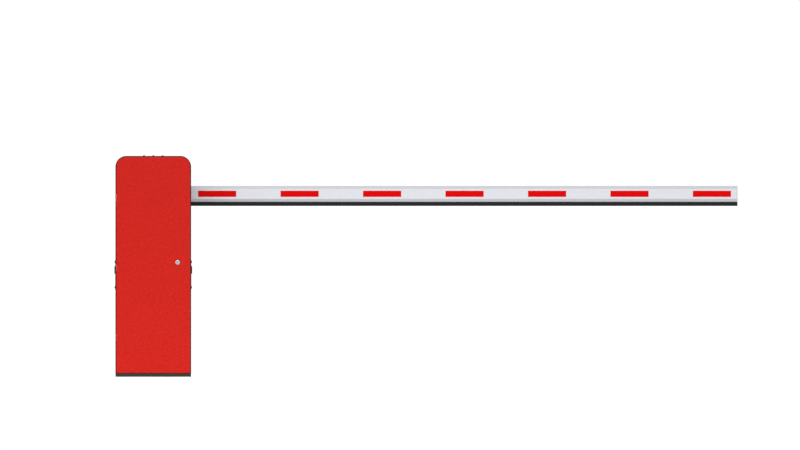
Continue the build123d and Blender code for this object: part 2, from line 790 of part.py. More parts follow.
# Rubber edge: hollow strip under the boom and its end cap, with a T-foot in the slot.
rubber_wall = 2.5
rubber_fit = 0.3
foot_end = boom_reach - boom_cap - 1.0
rubber_plane = Plane(
    origin=(rubber_start, boom_mid_y, boom_axis_z), x_dir=(0, 1, 0), z_dir=(1, 0, 0)
)
with BuildPart() as boom_rubber_edge:
    with BuildSketch(rubber_plane):
        with BuildLine():
            tip_z = -half_boom - rubber_height + rubber_width / 2
            Polyline((-rubber_width / 2, tip_z), (-rubber_width / 2, -half_boom))
            Line((-rubber_width / 2, -half_boom), (rubber_width / 2, -half_boom))
            Line((rubber_width / 2, -half_boom), (rubber_width / 2, tip_z))
            RadiusArc((rubber_width / 2, tip_z), (-rubber_width / 2, tip_z), rubber_width / 2)
        make_face()
        with Locations((0, -half_boom - rubber_height / 2)):
            SlotOverall(
                rubber_height - 2 * rubber_wall, rubber_width - 2 * rubber_wall, rotation=90,
                mode=Mode.SUBTRACT,
            )
    extrude(amount=boom_reach - rubber_start)
    with BuildSketch(rubber_plane):
        with Locations((0, -half_boom + boom_wall / 2)):
            Rectangle(slot_opening - 2 * rubber_fit, boom_wall + 2 * rubber_fit)
        with Locations((0, slot_base + slot_depth / 2)):
            Rectangle(slot_width - 2 * rubber_fit, slot_depth - 2 * rubber_fit)
    extrude(amount=foot_end - rubber_start)
boom_rubber_edge.part.label = "boom_rubber_edge"
export_step(boom_rubber_edge.part, "parts/boom_rubber_edge.step")

# End caps of the boom: an outer plate and a plug that fits above the slot.
plug_fit = 0.4
plug_bottom = slot_base + slot_depth + slot_wall + plug_fit
with BuildPart() as boom_end_caps:
    for end_x, outward in ((boom_reach - boom_cap, 1), (-boom_root, -1)):
        cap_plane = Plane(
            origin=(end_x, boom_mid_y, boom_axis_z), x_dir=(0, outward, 0), z_dir=(outward, 0, 0)
        )
        with BuildSketch(cap_plane):
            Polygon(*boom_section(0), align=None)
        extrude(amount=boom_cap)
        with BuildSketch(cap_plane):
            Polygon(*boom_section(boom_wall + plug_fit), align=None)
            with Locations((0, (plug_bottom - half_boom) / 2)):
                Rectangle(boom_depth, plug_bottom + half_boom, mode=Mode.SUBTRACT)
        extrude(amount=-boom_cap_plug)
boom_end_caps.part.label = "boom_end_caps"
export_step(boom_end_caps.part, "parts/boom_end_caps.step")

# Reflective strips on both faces of the boom.
with BuildPart() as reflectors:
    for face_y, side in ((boom_front_y, -1), (boom_back_y, 1)):
        back_y = max(face_y, face_y + side * reflector_thickness)
        with BuildSketch(across(back_y)):
            for number in range(reflector_count):
                middle_x = reflector_first + reflector_length / 2 + number * reflector_pitch
                with Locations((middle_x, boom_axis_z)):
                    Rectangle(reflector_length, reflector_height)
        extrude(amount=reflector_thickness)
reflectors.part.label = "reflectors"
export_step(reflectors.part, "parts/reflectors.step")

# ---- Crank and rod -------------------------------------------------------------------------------

crank_pin_x = diagonal
crank_pin_z = output_z - diagonal
rocker_pin_z = boom_axis_z - diagonal

with BuildPart() as crank_arm:
    with BuildSketch(across(arm_back_y)):
        with Locations((0, output_z)):
            Circle(crank_hub_radius)
        with Locations(Location((diagonal / 2, output_z - diagonal / 2))):
            SlotCenterToCenter(arm_radius, arm_width, rotation=rest_angle)
        with Locations((0, output_z)):
            Circle(output_shaft_radius, mode=Mode.SUBTRACT)
        with Locations((crank_pin_x, crank_pin_z)):
            Circle(pin_radius, mode=Mode.SUBTRACT)
    extrude(amount=arm_thickness)
    chamfer(crank_arm.faces().sort_by(Axis.Y)[0].outer_wire().edges(), length=1.5)
crank_arm.part.label = "crank_arm"
export_step(crank_arm.part, "parts/crank_arm.step")

with BuildPart() as crank_pin:
    with BuildSketch(across(arm_back_y)):
        with Locations((crank_pin_x, crank_pin_z)):
            Circle(pin_radius)
    extrude(amount=arm_back_y - pin_front_y)
    with BuildSketch(across(pin_front_y)):
        with Locations((crank_pin_x, crank_pin_z)):
            Circle(pin_head_radius)
    extrude(amount=pin_head)
crank_pin.part.label = "crank_pin"
export_step(crank_pin.part, "parts/crank_pin.step")

# Output shaft of the gearbox, with the bronze wheel pressed on it.
output_back_y = gear_y + wheel_width / 2 + 14.0
with BuildPart() as output_shaft:
    with BuildSketch(across(output_back_y)):
        with Locations((0, output_z)):
            Circle(output_shaft_radius)
    extrude(amount=output_back_y - arm_front_y)
    chamfer(output_shaft.edges().filter_by(GeomType.CIRCLE), length=1.0)
output_shaft.part.label = "output_shaft"
export_step(output_shaft.part, "parts/output_shaft.step")

tooth_depth = 4.4
tooth_space = 3.8
with BuildPart() as worm_wheel:
    with BuildSketch(across(gear_y + wheel_width / 2)):
        with Locations((0, output_z)):
            Circle(wheel_radius)
            Circle(output_shaft_radius, mode=Mode.SUBTRACT)
            with PolarLocations(wheel_radius, wheel_teeth):
                Rectangle(2 * tooth_depth, tooth_space, mode=Mode.SUBTRACT)
    extrude(amount=wheel_width)
worm_wheel.part.label = "worm_wheel"
export_step(worm_wheel.part, "parts/worm_wheel.step")

# Connecting rod: tube with a threaded eye at each end.
rod_mid_y = (rod_back_y + rod_front_y) / 2
eye_shank = 55.0
eye_shank_radius = 7.0
tube_start = 40.0
lock_nut = 8.0
with BuildPart() as connecting_rod:
    with BuildSketch(Plane.XY.offset(crank_pin_z + tube_start)):
        with Locations((crank_pin_x, rod_mid_y)):
            Circle(rod_bar_radius)
            Circle(eye_shank_radius, mode=Mode.SUBTRACT)
    extrude(amount=rocker_pin_z - crank_pin_z - 2 * tube_start)
connecting_rod.part.label = "connecting_rod"
export_step(connecting_rod.part, "parts/connecting_rod.step")

with BuildPart() as rod_ends:
    for eye_z, towards in ((crank_pin_z, 1), (rocker_pin_z, -1)):
        with BuildSketch(across(rod_back_y)):
            with Locations((crank_pin_x, eye_z)):
                Circle(rod_eye_radius)
        extrude(amount=rod_eye_width)
        with BuildSketch(Plane.XY.offset(eye_z)):
            with Locations((crank_pin_x, rod_mid_y)):
                Circle(eye_shank_radius)
        extrude(amount=towards * eye_shank)
        with BuildSketch(across(rod_back_y)):
            with Locations((crank_pin_x, eye_z)):
                Circle(bush_radius)
        extrude(amount=rod_eye_width, mode=Mode.SUBTRACT)
        with BuildSketch(Plane.XY.offset(eye_z + towards * tube_start)):
            with Locations((crank_pin_x, rod_mid_y)):
                RegularPolygon(rod_bar_radius + 2.0, 6)
        extrude(amount=-towards * lock_nut)
rod_ends.part.label = "rod_ends"
export_step(rod_ends.part, "parts/rod_ends.step")

with BuildPart() as rod_bushes:
    for eye_z, clearance in (
        (crank_pin_z, running_clearance),
        (rocker_pin_z, open_pivot_clearance),
    ):
        with BuildSketch(across(rod_back_y)):
            with Locations((crank_pin_x, eye_z)):
                Circle(bush_radius)
                Circle(pin_radius + clearance, mode=Mode.SUBTRACT)
        extrude(amount=rod_eye_width)
rod_bushes.part.label = "rod_bushes"
export_step(rod_bushes.part, "parts/rod_bushes.step")

# ---- Gearbox and motor ---------------------------------------------------------------------------

worm_x = -worm_offset
worm_bore = worm_radius + 2.5
gear_cavity = wheel_radius + 3.0
worm_housing_radius = worm_bore + 5.0
with BuildPart() as gearbox_casing:
    with BuildSketch(across(plate_face_y)):
        with Locations(((gear_flange_left + gear_flange_right) / 2, output_z)):
            RectangleRounded(gear_flange_right - gear_flange_left, 2 * gearbox_half_height, 10.0)
        with Locations(*gear_bolts):
            Circle(bolt_radius, mode=Mode.SUBTRACT)
    extrude(amount=housing_flange_thickness)
    with BuildSketch(across(plate_face_y - housing_flange_thickness)):
        with Locations((0, output_z)):
            Circle(gearbox_radius - 6.0)
    extrude(amount=plate_face_y - housing_flange_thickness - gearbox_front_y - gearbox_cover_thickness)
    with BuildSketch(Plane.XY.offset(output_z - gearbox_half_height)):
        with Locations((worm_x, gear_y)):
            Circle(worm_housing_radius)
    extrude(amount=2 * gearbox_half_height)
    with BuildSketch(across(gearbox_front_y + gearbox_cover_thickness)):
        with Locations((0, output_z)):
            Circle(gear_cavity)
    cavity_back = output_back_y + 2.0
    extrude(amount=-(cavity_back - gearbox_front_y - gearbox_cover_thickness), mode=Mode.SUBTRACT)
    with BuildSketch(Plane.XY.offset(output_z - gearbox_half_height)):
        with Locations((worm_x, gear_y)):
            Circle(worm_bore)
    extrude(amount=2 * gearbox_half_height - gearbox_wall, mode=Mode.SUBTRACT)
gearbox_casing.part.label = "gearbox_casing"
export_step(gearbox_casing.part, "parts/gearbox_casing.step")

with BuildPart() as gearbox_cover:
    with BuildSketch(across(gearbox_front_y + gearbox_cover_thickness)):
        with Locations((0, output_z)):
            Circle(gearbox_radius - 6.0)
            Circle(output_shaft_radius + running_clearance, mode=Mode.SUBTRACT)
    extrude(amount=gearbox_cover_thickness - 3.0)
    with BuildSketch(across(gearbox_front_y + 3.0)):
        with Locations((0, output_z)):
            Circle(26.0)
            Circle(output_shaft_radius + running_clearance, mode=Mode.SUBTRACT)
    extrude(amount=3.0)
    with BuildSketch(Plane.XY.offset(output_z - gearbox_half_height)):
        with Locations((worm_x, gear_y)):
            Circle(worm_housing_radius + part_gap)
    extrude(amount=2 * gearbox_half_height, mode=Mode.SUBTRACT)
gearbox_cover.part.label = "gearbox_cover"
export_step(gearbox_cover.part, "parts/gearbox_cover.step")

worm_turns = 5
worm_pitch = 8.0
worm_groove = 3.2
rotor_radius = 32.0
rotor_length = 90.0
shaft_tail = 44.0
worm_mid_z = output_z
with BuildPart() as motor_shaft:
    tail_z = fan_cover_bottom_z - shaft_tail
    with BuildSketch(Plane.XY.offset(tail_z)):
        with Locations((worm_x, gear_y)):
            Circle(worm_shaft_radius)
    extrude(amount=output_z + gearbox_half_height - gearbox_wall - 2.0 - tail_z)
    worm_length = worm_turns * worm_pitch + worm_groove
    with BuildSketch(Plane.XY.offset(worm_mid_z - worm_length / 2)):
        with Locations((worm_x, gear_y)):
            Circle(worm_radius)
    extrude(amount=worm_length)
    for turn in range(worm_turns + 1):
        groove_z = worm_mid_z - worm_length / 2 + turn * worm_pitch
        with BuildSketch(Plane.XY.offset(groove_z)):
            with Locations((worm_x, gear_y)):
                Circle(worm_radius)
                Circle(worm_radius - tooth_depth, mode=Mode.SUBTRACT)
        extrude(amount=worm_groove, mode=Mode.SUBTRACT)
    with BuildSketch(Plane.XY.offset((motor_top_z + motor_bottom_z) / 2 - rotor_length / 2)):
        with Locations((worm_x, gear_y)):
            Circle(rotor_radius)
    extrude(amount=rotor_length)
motor_shaft.part.label = "motor_shaft"
export_step(motor_shaft.part, "parts/motor_shaft.step")

# Motor casing: finned tube with a flange to the gearbox and a pad for the terminal box.
end_shield = 8.0
pad_width = 54.0
pad_height = 76.0
pad_z = 345.0
pad_front_y = gear_y - motor_fin_radius - 1.0
with BuildPart() as motor_casing:
    with BuildSketch(Plane.XY.offset(motor_bottom_z)):
        with Locations((worm_x, gear_y)):
            Circle(motor_radius)
            with PolarLocations(0, motor_fin_count):
                with Locations((motor_fin_radius / 2, 0)):
                    Rectangle(motor_fin_radius, motor_fin_thickness)
    extrude(amount=motor_length - motor_flange_thickness)
    with BuildSketch(Plane.XY.offset(motor_top_z)):
        with Locations((worm_x, gear_y)):
            Circle(motor_flange_radius)
    extrude(amount=-motor_flange_thickness)
    with BuildSketch(across(gear_y - motor_radius + 4.0)):
        with Locations((worm_x, pad_z)):
            Rectangle(pad_width, pad_height)
    extrude(amount=gear_y - motor_radius + 4.0 - pad_front_y)
    with BuildSketch(Plane.XY.offset(motor_bottom_z + end_shield)):
        with Locations((worm_x, gear_y)):
            Circle(motor_radius - motor_wall)
    extrude(amount=motor_length - end_shield - motor_flange_thickness, mode=Mode.SUBTRACT)
    with BuildSketch(Plane.XY.offset(motor_bottom_z)):
        with Locations((worm_x, gear_y)):
            Circle(worm_shaft_radius + running_clearance)
    extrude(amount=motor_length, mode=Mode.SUBTRACT)
motor_casing.part.label = "motor_casing"
export_step(motor_casing.part, "parts/motor_casing.step")

# Terminal box on the motor's pad.
box_depth = 34.0
with BuildPart() as motor_terminal_box:
    with BuildSketch(across(pad_front_y)):
        with Locations((worm_x, pad_z)):
            RectangleRounded(pad_width + 16.0, pad_height + 8.0, 6.0)
    extrude(amount=box_depth)
    fillet(motor_terminal_box.faces().sort_by(Axis.Y)[0].edges(), radius=3.0)
    with BuildSketch(across(pad_front_y)):
        with Locations((worm_x, pad_z)):
            Rectangle(pad_width - 2.0, pad_height - 8.0)
    extrude(amount=box_depth - 5.0, mode=Mode.SUBTRACT)
motor_terminal_box.part.label = "motor_terminal_box"
export_step(motor_terminal_box.part, "parts/motor_terminal_box.step")

# Fan cover: thin cap with air slots in its floor and a hole for the shaft.
with BuildPart() as fan_cover:
    with BuildSketch(Plane.XY.offset(fan_cover_bottom_z)):
        with Locations((worm_x, gear_y)):
            Circle(motor_fin_radius)
    extrude(amount=fan_cover_length)
    fillet(fan_cover.faces().sort_by(Axis.Z)[0].edges(), radius=5.0)
    with BuildSketch(Plane.XY.offset(fan_cover_bottom_z + fan_cover_wall)):
        with Locations((worm_x, gear_y)):
            Circle(motor_fin_radius - fan_cover_wall)
    extrude(amount=fan_cover_length, mode=Mode.SUBTRACT)
    with BuildSketch(Plane.XY.offset(fan_cover_bottom_z)):
        with Locations((worm_x, gear_y)):
            Circle(worm_shaft_radius + 3.0)
            with PolarLocations(0, 16):
                with Locations((30.0, 0)):
                    SlotOverall(22.0, 4.0)
    extrude(amount=fan_cover_wall, mode=Mode.SUBTRACT)
fan_cover.part.label = "fan_cover"
export_step(fan_cover.part, "parts/fan_cover.step")

fan_hub_radius = 16.0
fan_height = 20.0
fan_blades = 8
fan_z = motor_bottom_z - fan_height - 6.0
with BuildPart() as fan:
    with BuildSketch(Plane.XY.offset(fan_z)):
        with Locations((worm_x, gear_y)):
            Circle(fan_hub_radius)
            with PolarLocations(0, fan_blades):
                with Locations((fan_radius / 2, 0)):
                    Rectangle(fan_radius, 2.5)
            Circle(worm_shaft_radius, mode=Mode.SUBTRACT)
    extrude(amount=fan_height)
fan.part.label = "fan"
export_step(fan.part, "parts/fan.step")

# Hand wheel on the motor's tail, which lifts the boom when the power is off.
with BuildPart() as hand_wheel:
    with BuildSketch(Plane.XY.offset(fan_cover_bottom_z - shaft_tail + 4.0)):
        with Locations((worm_x, gear_y)):
            Circle(hand_wheel_radius)
            with PolarLocations(hand_wheel_radius + 2.0, 12):
                Circle(5.0, mode=Mode.SUBTRACT)
    extrude(amount=hand_wheel_thickness)
    with BuildSketch(Plane.XY.offset(fan_cover_bottom_z - shaft_tail)):
        with Locations((worm_x, gear_y)):
            Circle(18.0)
    extrude(amount=hand_wheel_thickness + 10.0)
    with BuildSketch(Plane.XY.offset(fan_cover_bottom_z - shaft_tail)):
        with Locations((worm_x, gear_y)):
            Circle(worm_shaft_radius)
    extrude(amount=hand_wheel_thickness + 10.0, mode=Mode.SUBTRACT)
hand_wheel.part.label = "hand_wheel"
export_step(hand_wheel.part, "parts/hand_wheel.step")

# ---- Balance springs -----------------------------------------------------------------------------

spring_x = -diagonal
spring_top_z = boom_axis_z + diagonal
spring_places = (spring_front_y, spring_back_y)
spring_end_plate = 3.0
spring_body_bottom = spring_anchor_z + spring_hook_radius + spring_wire / 2
spring_body_top = spring_top_z - spring_hook_radius - spring_wire / 2
eye_ring_radius = 10.0
eye_ring_wire = 4.0
eye_centre_z = spring_anchor_z - spring_hook_radius + spring_wire / 2 - eye_ring_radius + eye_ring_wire + 0.8
eye_rod_radius = 6.0
anchor_plate = 8.0
eye_rod_bottom = spring_anchor_plate_z - 16.0

# Tension springs, stretched by the lowered boom: outer form of the coils with a hook at each end.
with BuildPart() as balance_springs:
    for place_y in spring_places:
        with BuildSketch(Plane.XY.offset(spring_body_bottom - spring_end_plate)):
            with Locations((spring_x, place_y)):
                Circle(spring_radius)
        extrude(amount=spring_body_top - spring_body_bottom + 2 * spring_end_plate)
        with BuildSketch(Plane.XY.offset(spring_body_bottom)):
            with Locations((spring_x, place_y)):
                Circle(spring_radius - spring_wire)
        extrude(amount=spring_body_top - spring_body_bottom, mode=Mode.SUBTRACT)
        for hook_z in (spring_anchor_z, spring_top_z):
            with Locations(Plane(origin=(spring_x, place_y, hook_z), z_dir=(0, 1, 0))):
                Torus(spring_hook_radius, spring_wire / 2)
balance_springs.part.label = "balance_springs"
export_step(balance_springs.part, "parts/balance_springs.step")

# Spring anchor: welded angle on the mechanism plate.
anchor_width = 76.0
anchor_front_y = spring_front_y - 20.0
with BuildPart() as spring_anchor:
    with BuildSketch(Plane.XY.offset(spring_anchor_plate_z)):
        with Locations((spring_x, (anchor_front_y + plate_face_y) / 2)):
            Rectangle(anchor_width, plate_face_y - anchor_front_y)
        with Locations(*[(spring_x, place_y) for place_y in spring_places]):
            Circle(eye_rod_radius + 0.5, mode=Mode.SUBTRACT)
    extrude(amount=anchor_plate)
    with BuildSketch(across(plate_face_y)):
        with Locations((spring_x, spring_anchor_plate_z + 25.0)):
            Rectangle(anchor_width, 50.0)
        with Locations(*anchor_bolts):
            Circle(bolt_radius, mode=Mode.SUBTRACT)
    extrude(amount=anchor_leg)
    gusset = 34.0
    gusset_y = plate_face_y - anchor_leg
    gusset_z = spring_anchor_plate_z + anchor_plate
    for edge_x in (spring_x - anchor_width / 2, spring_x + anchor_width / 2 - 5.0):
        with BuildSketch(Plane.YZ.offset(edge_x)):
            Polygon(
                (gusset_y, gusset_z), (gusset_y - gusset, gusset_z), (gusset_y, gusset_z + gusset),
                align=None,
            )
        extrude(amount=5.0)
spring_anchor.part.label = "spring_anchor"
export_step(spring_anchor.part, "parts/spring_anchor.step")

# Eye bolts that set the spring tension, each with a nut above and below the anchor.
eye_nut_radius = 10.0
eye_nut = 9.0
with BuildPart() as spring_eyebolts:
    for place_y in spring_places:
        with BuildSketch(Plane.XY.offset(eye_rod_bottom)):
            with Locations((spring_x, place_y)):
                Circle(eye_rod_radius)
        extrude(amount=eye_centre_z - eye_ring_radius - eye_rod_bottom)
        with Locations(Plane(origin=(spring_x, place_y, eye_centre_z), z_dir=(1, 0, 0))):
            Torus(eye_ring_radius, eye_ring_wire)
        for nut_z in (spring_anchor_plate_z - eye_nut, spring_anchor_plate_z + anchor_plate):
            with BuildSketch(Plane.XY.offset(nut_z)):
                with Locations((spring_x, place_y)):
                    RegularPolygon(eye_nut_radius, 6)
            extrude(amount=eye_nut)
spring_eyebolts.part.label = "spring_eyebolts"
export_step(spring_eyebolts.part, "parts/spring_eyebolts.step")

# ---- Control gear --------------------------------------------------------------------------------

controller_wall = 3.0
controller_front_y = plate_face_y - controller_depth
gland_radius = 9.0
gland_length = 16.0
cable_radius = 4.0
with BuildPart() as controller_box:
    with BuildSketch(across(plate_face_y)):
        with Locations((controller_x, controller_z)):
            RectangleRounded(controller_width, controller_height, 8.0)
    extrude(amount=controller_depth)
    with BuildSketch(across(plate_face_y - controller_wall)):
        with Locations((controller_x, controller_z)):
            RectangleRounded(
                controller_width - 2 * controller_wall, controller_height - 2 * controller_wall, 5.0
            )
    extrude(amount=controller_depth, mode=Mode.SUBTRACT)
controller_box.part.label = "controller_box"
export_step(controller_box.part, "parts/controller_box.step")

with BuildPart() as controller_lid:
    with BuildSketch(across(controller_front_y)):
        with Locations((controller_x, controller_z)):
            RectangleRounded(controller_width + 2.0, controller_height + 2.0, 9.0)
    extrude(amount=controller_lid_depth)
    fillet(controller_lid.faces().sort_by(Axis.Y)[0].edges(), radius=4.0)
    with BuildSketch(across(controller_front_y)):
        with Locations((controller_x, controller_z)):
            RectangleRounded(controller_width - 4.0, controller_height - 4.0, 6.0)
    extrude(amount=controller_lid_depth - 3.0, mode=Mode.SUBTRACT)
controller_lid.part.label = "controller_lid"
export_step(controller_lid.part, "parts/controller_lid.step")

# Top-hat rail across the foot of the mechanism plate.
rail_front_y = plate_face_y - rail_depth
rail_wall = 1.0
rail_length = 236.0
with BuildPart() as din_rail:
    with BuildSketch(Plane.YZ.offset(-rail_length / 2)):
        with Locations((plate_face_y - rail_wall / 2, rail_z)):
            Rectangle(rail_wall, rail_height - 8.0)
        for side in (-1, 1):
            with Locations((plate_face_y - rail_depth / 2, rail_z + side * (rail_height / 2 - 4.5))):
                Rectangle(rail_depth, rail_wall)
            with Locations((rail_front_y + rail_wall / 2, rail_z + side * (rail_height / 2 - 2.5))):
                Rectangle(rail_wall, 5.0)
    extrude(amount=rail_length)
din_rail.part.label = "din_rail"
export_step(din_rail.part, "parts/din_rail.step")

# Modules on the rail: main switch, power supply and vehicle loop detector.
module_face = 45.0
module_nose = 14.0
modules = ((70.0, 54.0), (16.0, 36.0), (-98.0, 22.5))
with BuildPart() as din_modules:
    for middle_x, width in modules:
        with BuildSketch(across(rail_front_y)):
            with Locations((middle_x, rail_z)):
                Rectangle(width, module_height)
        extrude(amount=module_depth - module_nose)
        with BuildSketch(across(rail_front_y - module_depth + module_nose)):
            with Locations((middle_x, rail_z)):
                Rectangle(width, module_face)
        extrude(amount=module_nose)
din_modules.part.label = "din_modules"
export_step(din_modules.part, "parts/din_modules.step")

terminal_width = 6.0
terminal_pitch = 6.2
terminal_count = 10
terminal_height = 56.0
terminal_depth = 42.0
terminal_middle_x = -45.0
with BuildPart() as terminal_blocks:
    with BuildSketch(across(rail_front_y)):
        with Locations((terminal_middle_x, rail_z)):
            with GridLocations(terminal_pitch, 0, terminal_count, 1):
                Rectangle(terminal_width, terminal_height)
    extrude(amount=terminal_depth * 0.5)
    with BuildSketch(across(rail_front_y - terminal_depth * 0.5)):
        with Locations((terminal_middle_x, rail_z)):
            with GridLocations(terminal_pitch, 0, terminal_count, 1):
                Rectangle(terminal_width, terminal_height - 18.0)
    extrude(amount=terminal_depth * 0.5)
terminal_blocks.part.label = "terminal_blocks"
export_step(terminal_blocks.part, "parts/terminal_blocks.step")

# Cable glands: one under the motor's terminal box, two under the controller.
box_bottom_z = pad_z - pad_height / 2 - 4.0
motor_gland = (worm_x + 12.0, pad_front_y - box_depth / 2, box_bottom_z)
controller_bottom_z = controller_z - controller_height / 2
glands = (
    motor_gland,
    (controller_x - 25.0, plate_face_y - controller_depth / 2, controller_bottom_z),
    (controller_x + 25.0, plate_face_y - controller_depth / 2, controller_bottom_z),
)
with BuildPart() as cable_glands:
    for gland_x, gland_y, gland_z in glands:
        with BuildSketch(Plane.XY.offset(gland_z)):
            with Locations((gland_x, gland_y)):
                RegularPolygon(gland_radius + 1.0, 6)
        extrude(amount=-gland_length * 0.45)
        with BuildSketch(Plane.XY.offset(gland_z - gland_length * 0.45)):
            with Locations((gland_x, gland_y)):
                Circle(gland_radius - 1.0)
        extrude(amount=-gland_length * 0.55)
cable_glands.part.label = "cable_glands"
export_step(cable_glands.part, "parts/cable_glands.step")

# Motor cable: from the gland down in front of the motor and back into the terminal blocks.
cable_x = motor_gland[0]
cable_end_y = rail_front_y - terminal_depth
cable_points = [
    (cable_x, motor_gland[1], box_bottom_z - gland_length),
    (cable_x, motor_gland[1], 225.0),
    (cable_x, -30.0, 170.0),
    (cable_x, -14.0, 118.0),
    (cable_x, 20.0, rail_z + 12.0),
    (cable_x, cable_end_y, rail_z + 12.0),
]
cable_radii = []
for before, here, after in zip(cable_points, cable_points[1:], cable_points[2:]):
    run_in = Vector(*here) - Vector(*before)
    run_out = Vector(*after) - Vector(*here)
    turn = run_in.get_angle(run_out)
    cable_radii.append(0.45 * min(run_in.length, run_out.length) / tan(radians(turn / 2)))
print("motor cable radii", [round(radius, 1) for radius in cable_radii])
with BuildPart() as motor_cable:
    with BuildLine() as cable_line:
        FilletPolyline(*cable_points, radius=cable_radii)
    with BuildSketch(Plane.XY.offset(cable_points[0][2])):
        with Locations(cable_points[0][:2]):
            Circle(cable_radius)
    sweep(path=cable_line.line)
motor_cable.part.label = "motor_cable"
export_step(motor_cable.part, "parts/motor_cable.step")
cable_length = sum(edge.length for edge in cable_line.line.edges())
section_times_length = pi * cable_radius**2 * cable_length
print("motor cable length", round(cable_length, 1))
print("motor cable volume ratio", round(motor_cable.part.volume / section_times_length, 4))

# ---- Photocells ----------------------------------------------------------------------------------

# Flush housings: outer plate with a box that passes through the window in the side wall.
window_fit = 0.5
with BuildPart() as photocell_housings:
    with BuildSketch(Plane.YZ.offset(half_width)):
        with Locations((cell_y, cell_z)):
            RectangleRounded(cell_plate_width, cell_plate_height, 6.0)
        with Locations(*[(cell_y, z) for z in cell_screw_z]):
            Circle(roof_screw_radius, mode=Mode.SUBTRACT)
    extrude(amount=cell_plate_thickness)
    with BuildSketch(Plane.YZ.offset(half_width)):
        with Locations((cell_y, cell_z)):
            Rectangle(cell_window_y - 2 * window_fit, cell_window_z - 2 * window_fit)
    extrude(amount=-cell_box_depth - shell_wall)
    mirror(about=Plane.YZ)
photocell_housings.part.label = "photocell_housings"
export_step(photocell_housings.part, "parts/photocell_housings.step")

# Domed lenses, a sender and a receiver on each side.
lens_sphere = (cell_lens_radius**2 + cell_lens_height**2) / (2 * cell_lens_height)
with BuildPart() as photocell_lenses:
    for lens_z in cell_lens_z:
        face_x = half_width + cell_plate_thickness
        lens_plane = Plane(origin=(face_x, cell_y, lens_z), x_dir=(1, 0, 0), z_dir=(0, -1, 0))
        with BuildSketch(lens_plane):
            with BuildLine():
                Line((0, 0), (cell_lens_height, 0))
                RadiusArc((cell_lens_height, 0), (0, cell_lens_radius), -lens_sphere)
                Line((0, cell_lens_radius), (0, 0))
            make_face()
        revolve(axis=Axis((face_x, cell_y, lens_z), (1, 0, 0)))
    mirror(about=Plane.YZ)
photocell_lenses.part.label = "photocell_lenses"
export_step(photocell_lenses.part, "parts/photocell_lenses.step")

with BuildPart() as photocell_screws:
    cell_screws = [(cell_y, z) for z in cell_screw_z]
    with BuildSketch(Plane.YZ.offset(half_width + cell_plate_thickness)):
        with Locations(*cell_screws):
            Circle(cell_screw_radius)
    extrude(amount=cell_screw_height)
    fillet(photocell_screws.faces().sort_by(Axis.X)[-2:].edges(), radius=1.4)
    with BuildSketch(Plane.YZ.offset(half_width + cell_plate_thickness)):
        with Locations(*cell_screws):
            Circle(roof_screw_radius - running_clearance)
    extrude(amount=-cell_screw_length)
    mirror(about=Plane.YZ)
photocell_screws.part.label = "photocell_screws"
export_step(photocell_screws.part, "parts/photocell_screws.step")

# ---- Door ----------------------------------------------------------------------------------------

door_inset_side = shell_wall + door_gap
door_back_y = door_front_y + door_fold
skin_back_y = door_front_y + door_skin
notch_half = hinge_knuckle_length / 2 + hinge_notch_spare
lock_hole_radius = lock_body_radius + running_clearance
with BuildPart() as door_panel:
    with BuildSketch(across(door_back_y)):
        make_face(outline(door_inset_side, door_bottom))
    extrude(amount=door_fold)
    fillet(door_panel.faces().sort_by(Axis.Y)[0].edges(), radius=door_edge_radius)
    with BuildSketch(across(door_back_y)):
        make_face(outline(door_inset_side + door_skin, door_bottom + door_skin))
    extrude(amount=door_fold - door_skin, mode=Mode.SUBTRACT)
    for hinge_z in hinge_heights:
        notch_depth = door_back_y - skin_back_y
        with BuildSketch(across(door_back_y)):
            with Locations((-door_width / 2, hinge_z)):
                Rectangle(2 * door_skin + 1.0, 2 * notch_half)
        extrude(amount=notch_depth, mode=Mode.SUBTRACT)
        with BuildSketch(Plane.XY.offset(hinge_z - hinge_knuckle_length / 2)):
            with Locations((hinge_x, hinge_y)):
                Circle(hinge_knuckle_radius)
            with Locations((hinge_x, (hinge_y + door_front_y + door_skin / 2) / 2)):
                Rectangle(2 * hinge_knuckle_radius - 1.0, hinge_y - door_front_y - door_skin / 2)
            with Locations((hinge_x, hinge_y)):
                Circle(hinge_pin_radius + running_clearance, mode=Mode.SUBTRACT)
        extrude(amount=hinge_knuckle_length)
    with BuildSketch(across(skin_back_y)):
        with Locations((lock_x, lock_z)):
            Circle(lock_hole_radius)
    extrude(amount=door_skin, mode=Mode.SUBTRACT)
door_panel.part.label = "door_panel"
export_step(door_panel.part, "parts/door_panel.step")

# Hinge brackets on the front frame: two ears with a pin through the door's knuckle.
ear_gap = 0.5
ear_thickness = 3.0
ear_start = hinge_knuckle_length / 2 + ear_gap
ear_half_width = 2.4
foot_thickness = 3.0
foot_y = front_flange_y - foot_thickness
foot_right = 7.0
with BuildPart() as hinge_brackets:
    for hinge_z in hinge_heights:
        for ear_z in (hinge_z - ear_start - ear_thickness, hinge_z + ear_start):
            with BuildSketch(Plane.XY.offset(ear_z)):
                with Locations((hinge_x, hinge_y)):
                    Circle(hinge_knuckle_radius - 0.2)
                with Locations((hinge_x, (hinge_y + foot_y) / 2)):
                    Rectangle(2 * ear_half_width, foot_y - hinge_y)
            extrude(amount=ear_thickness)
        with BuildSketch(Plane.XY.offset(hinge_z - ear_start)):
            with Locations((hinge_x, hinge_y)):
                Circle(hinge_pin_radius)
        extrude(amount=2 * ear_start)
        with BuildSketch(across(front_flange_y)):
            foot_left = -half_width + shell_wall + part_gap
            with Locations(((foot_left + hinge_x + foot_right) / 2, hinge_z)):
                Rectangle(hinge_x + foot_right - foot_left, 2 * (ear_start + ear_thickness))
        extrude(amount=foot_thickness)
hinge_brackets.part.label = "hinge_brackets"
export_step(hinge_brackets.part, "parts/hinge_brackets.step")

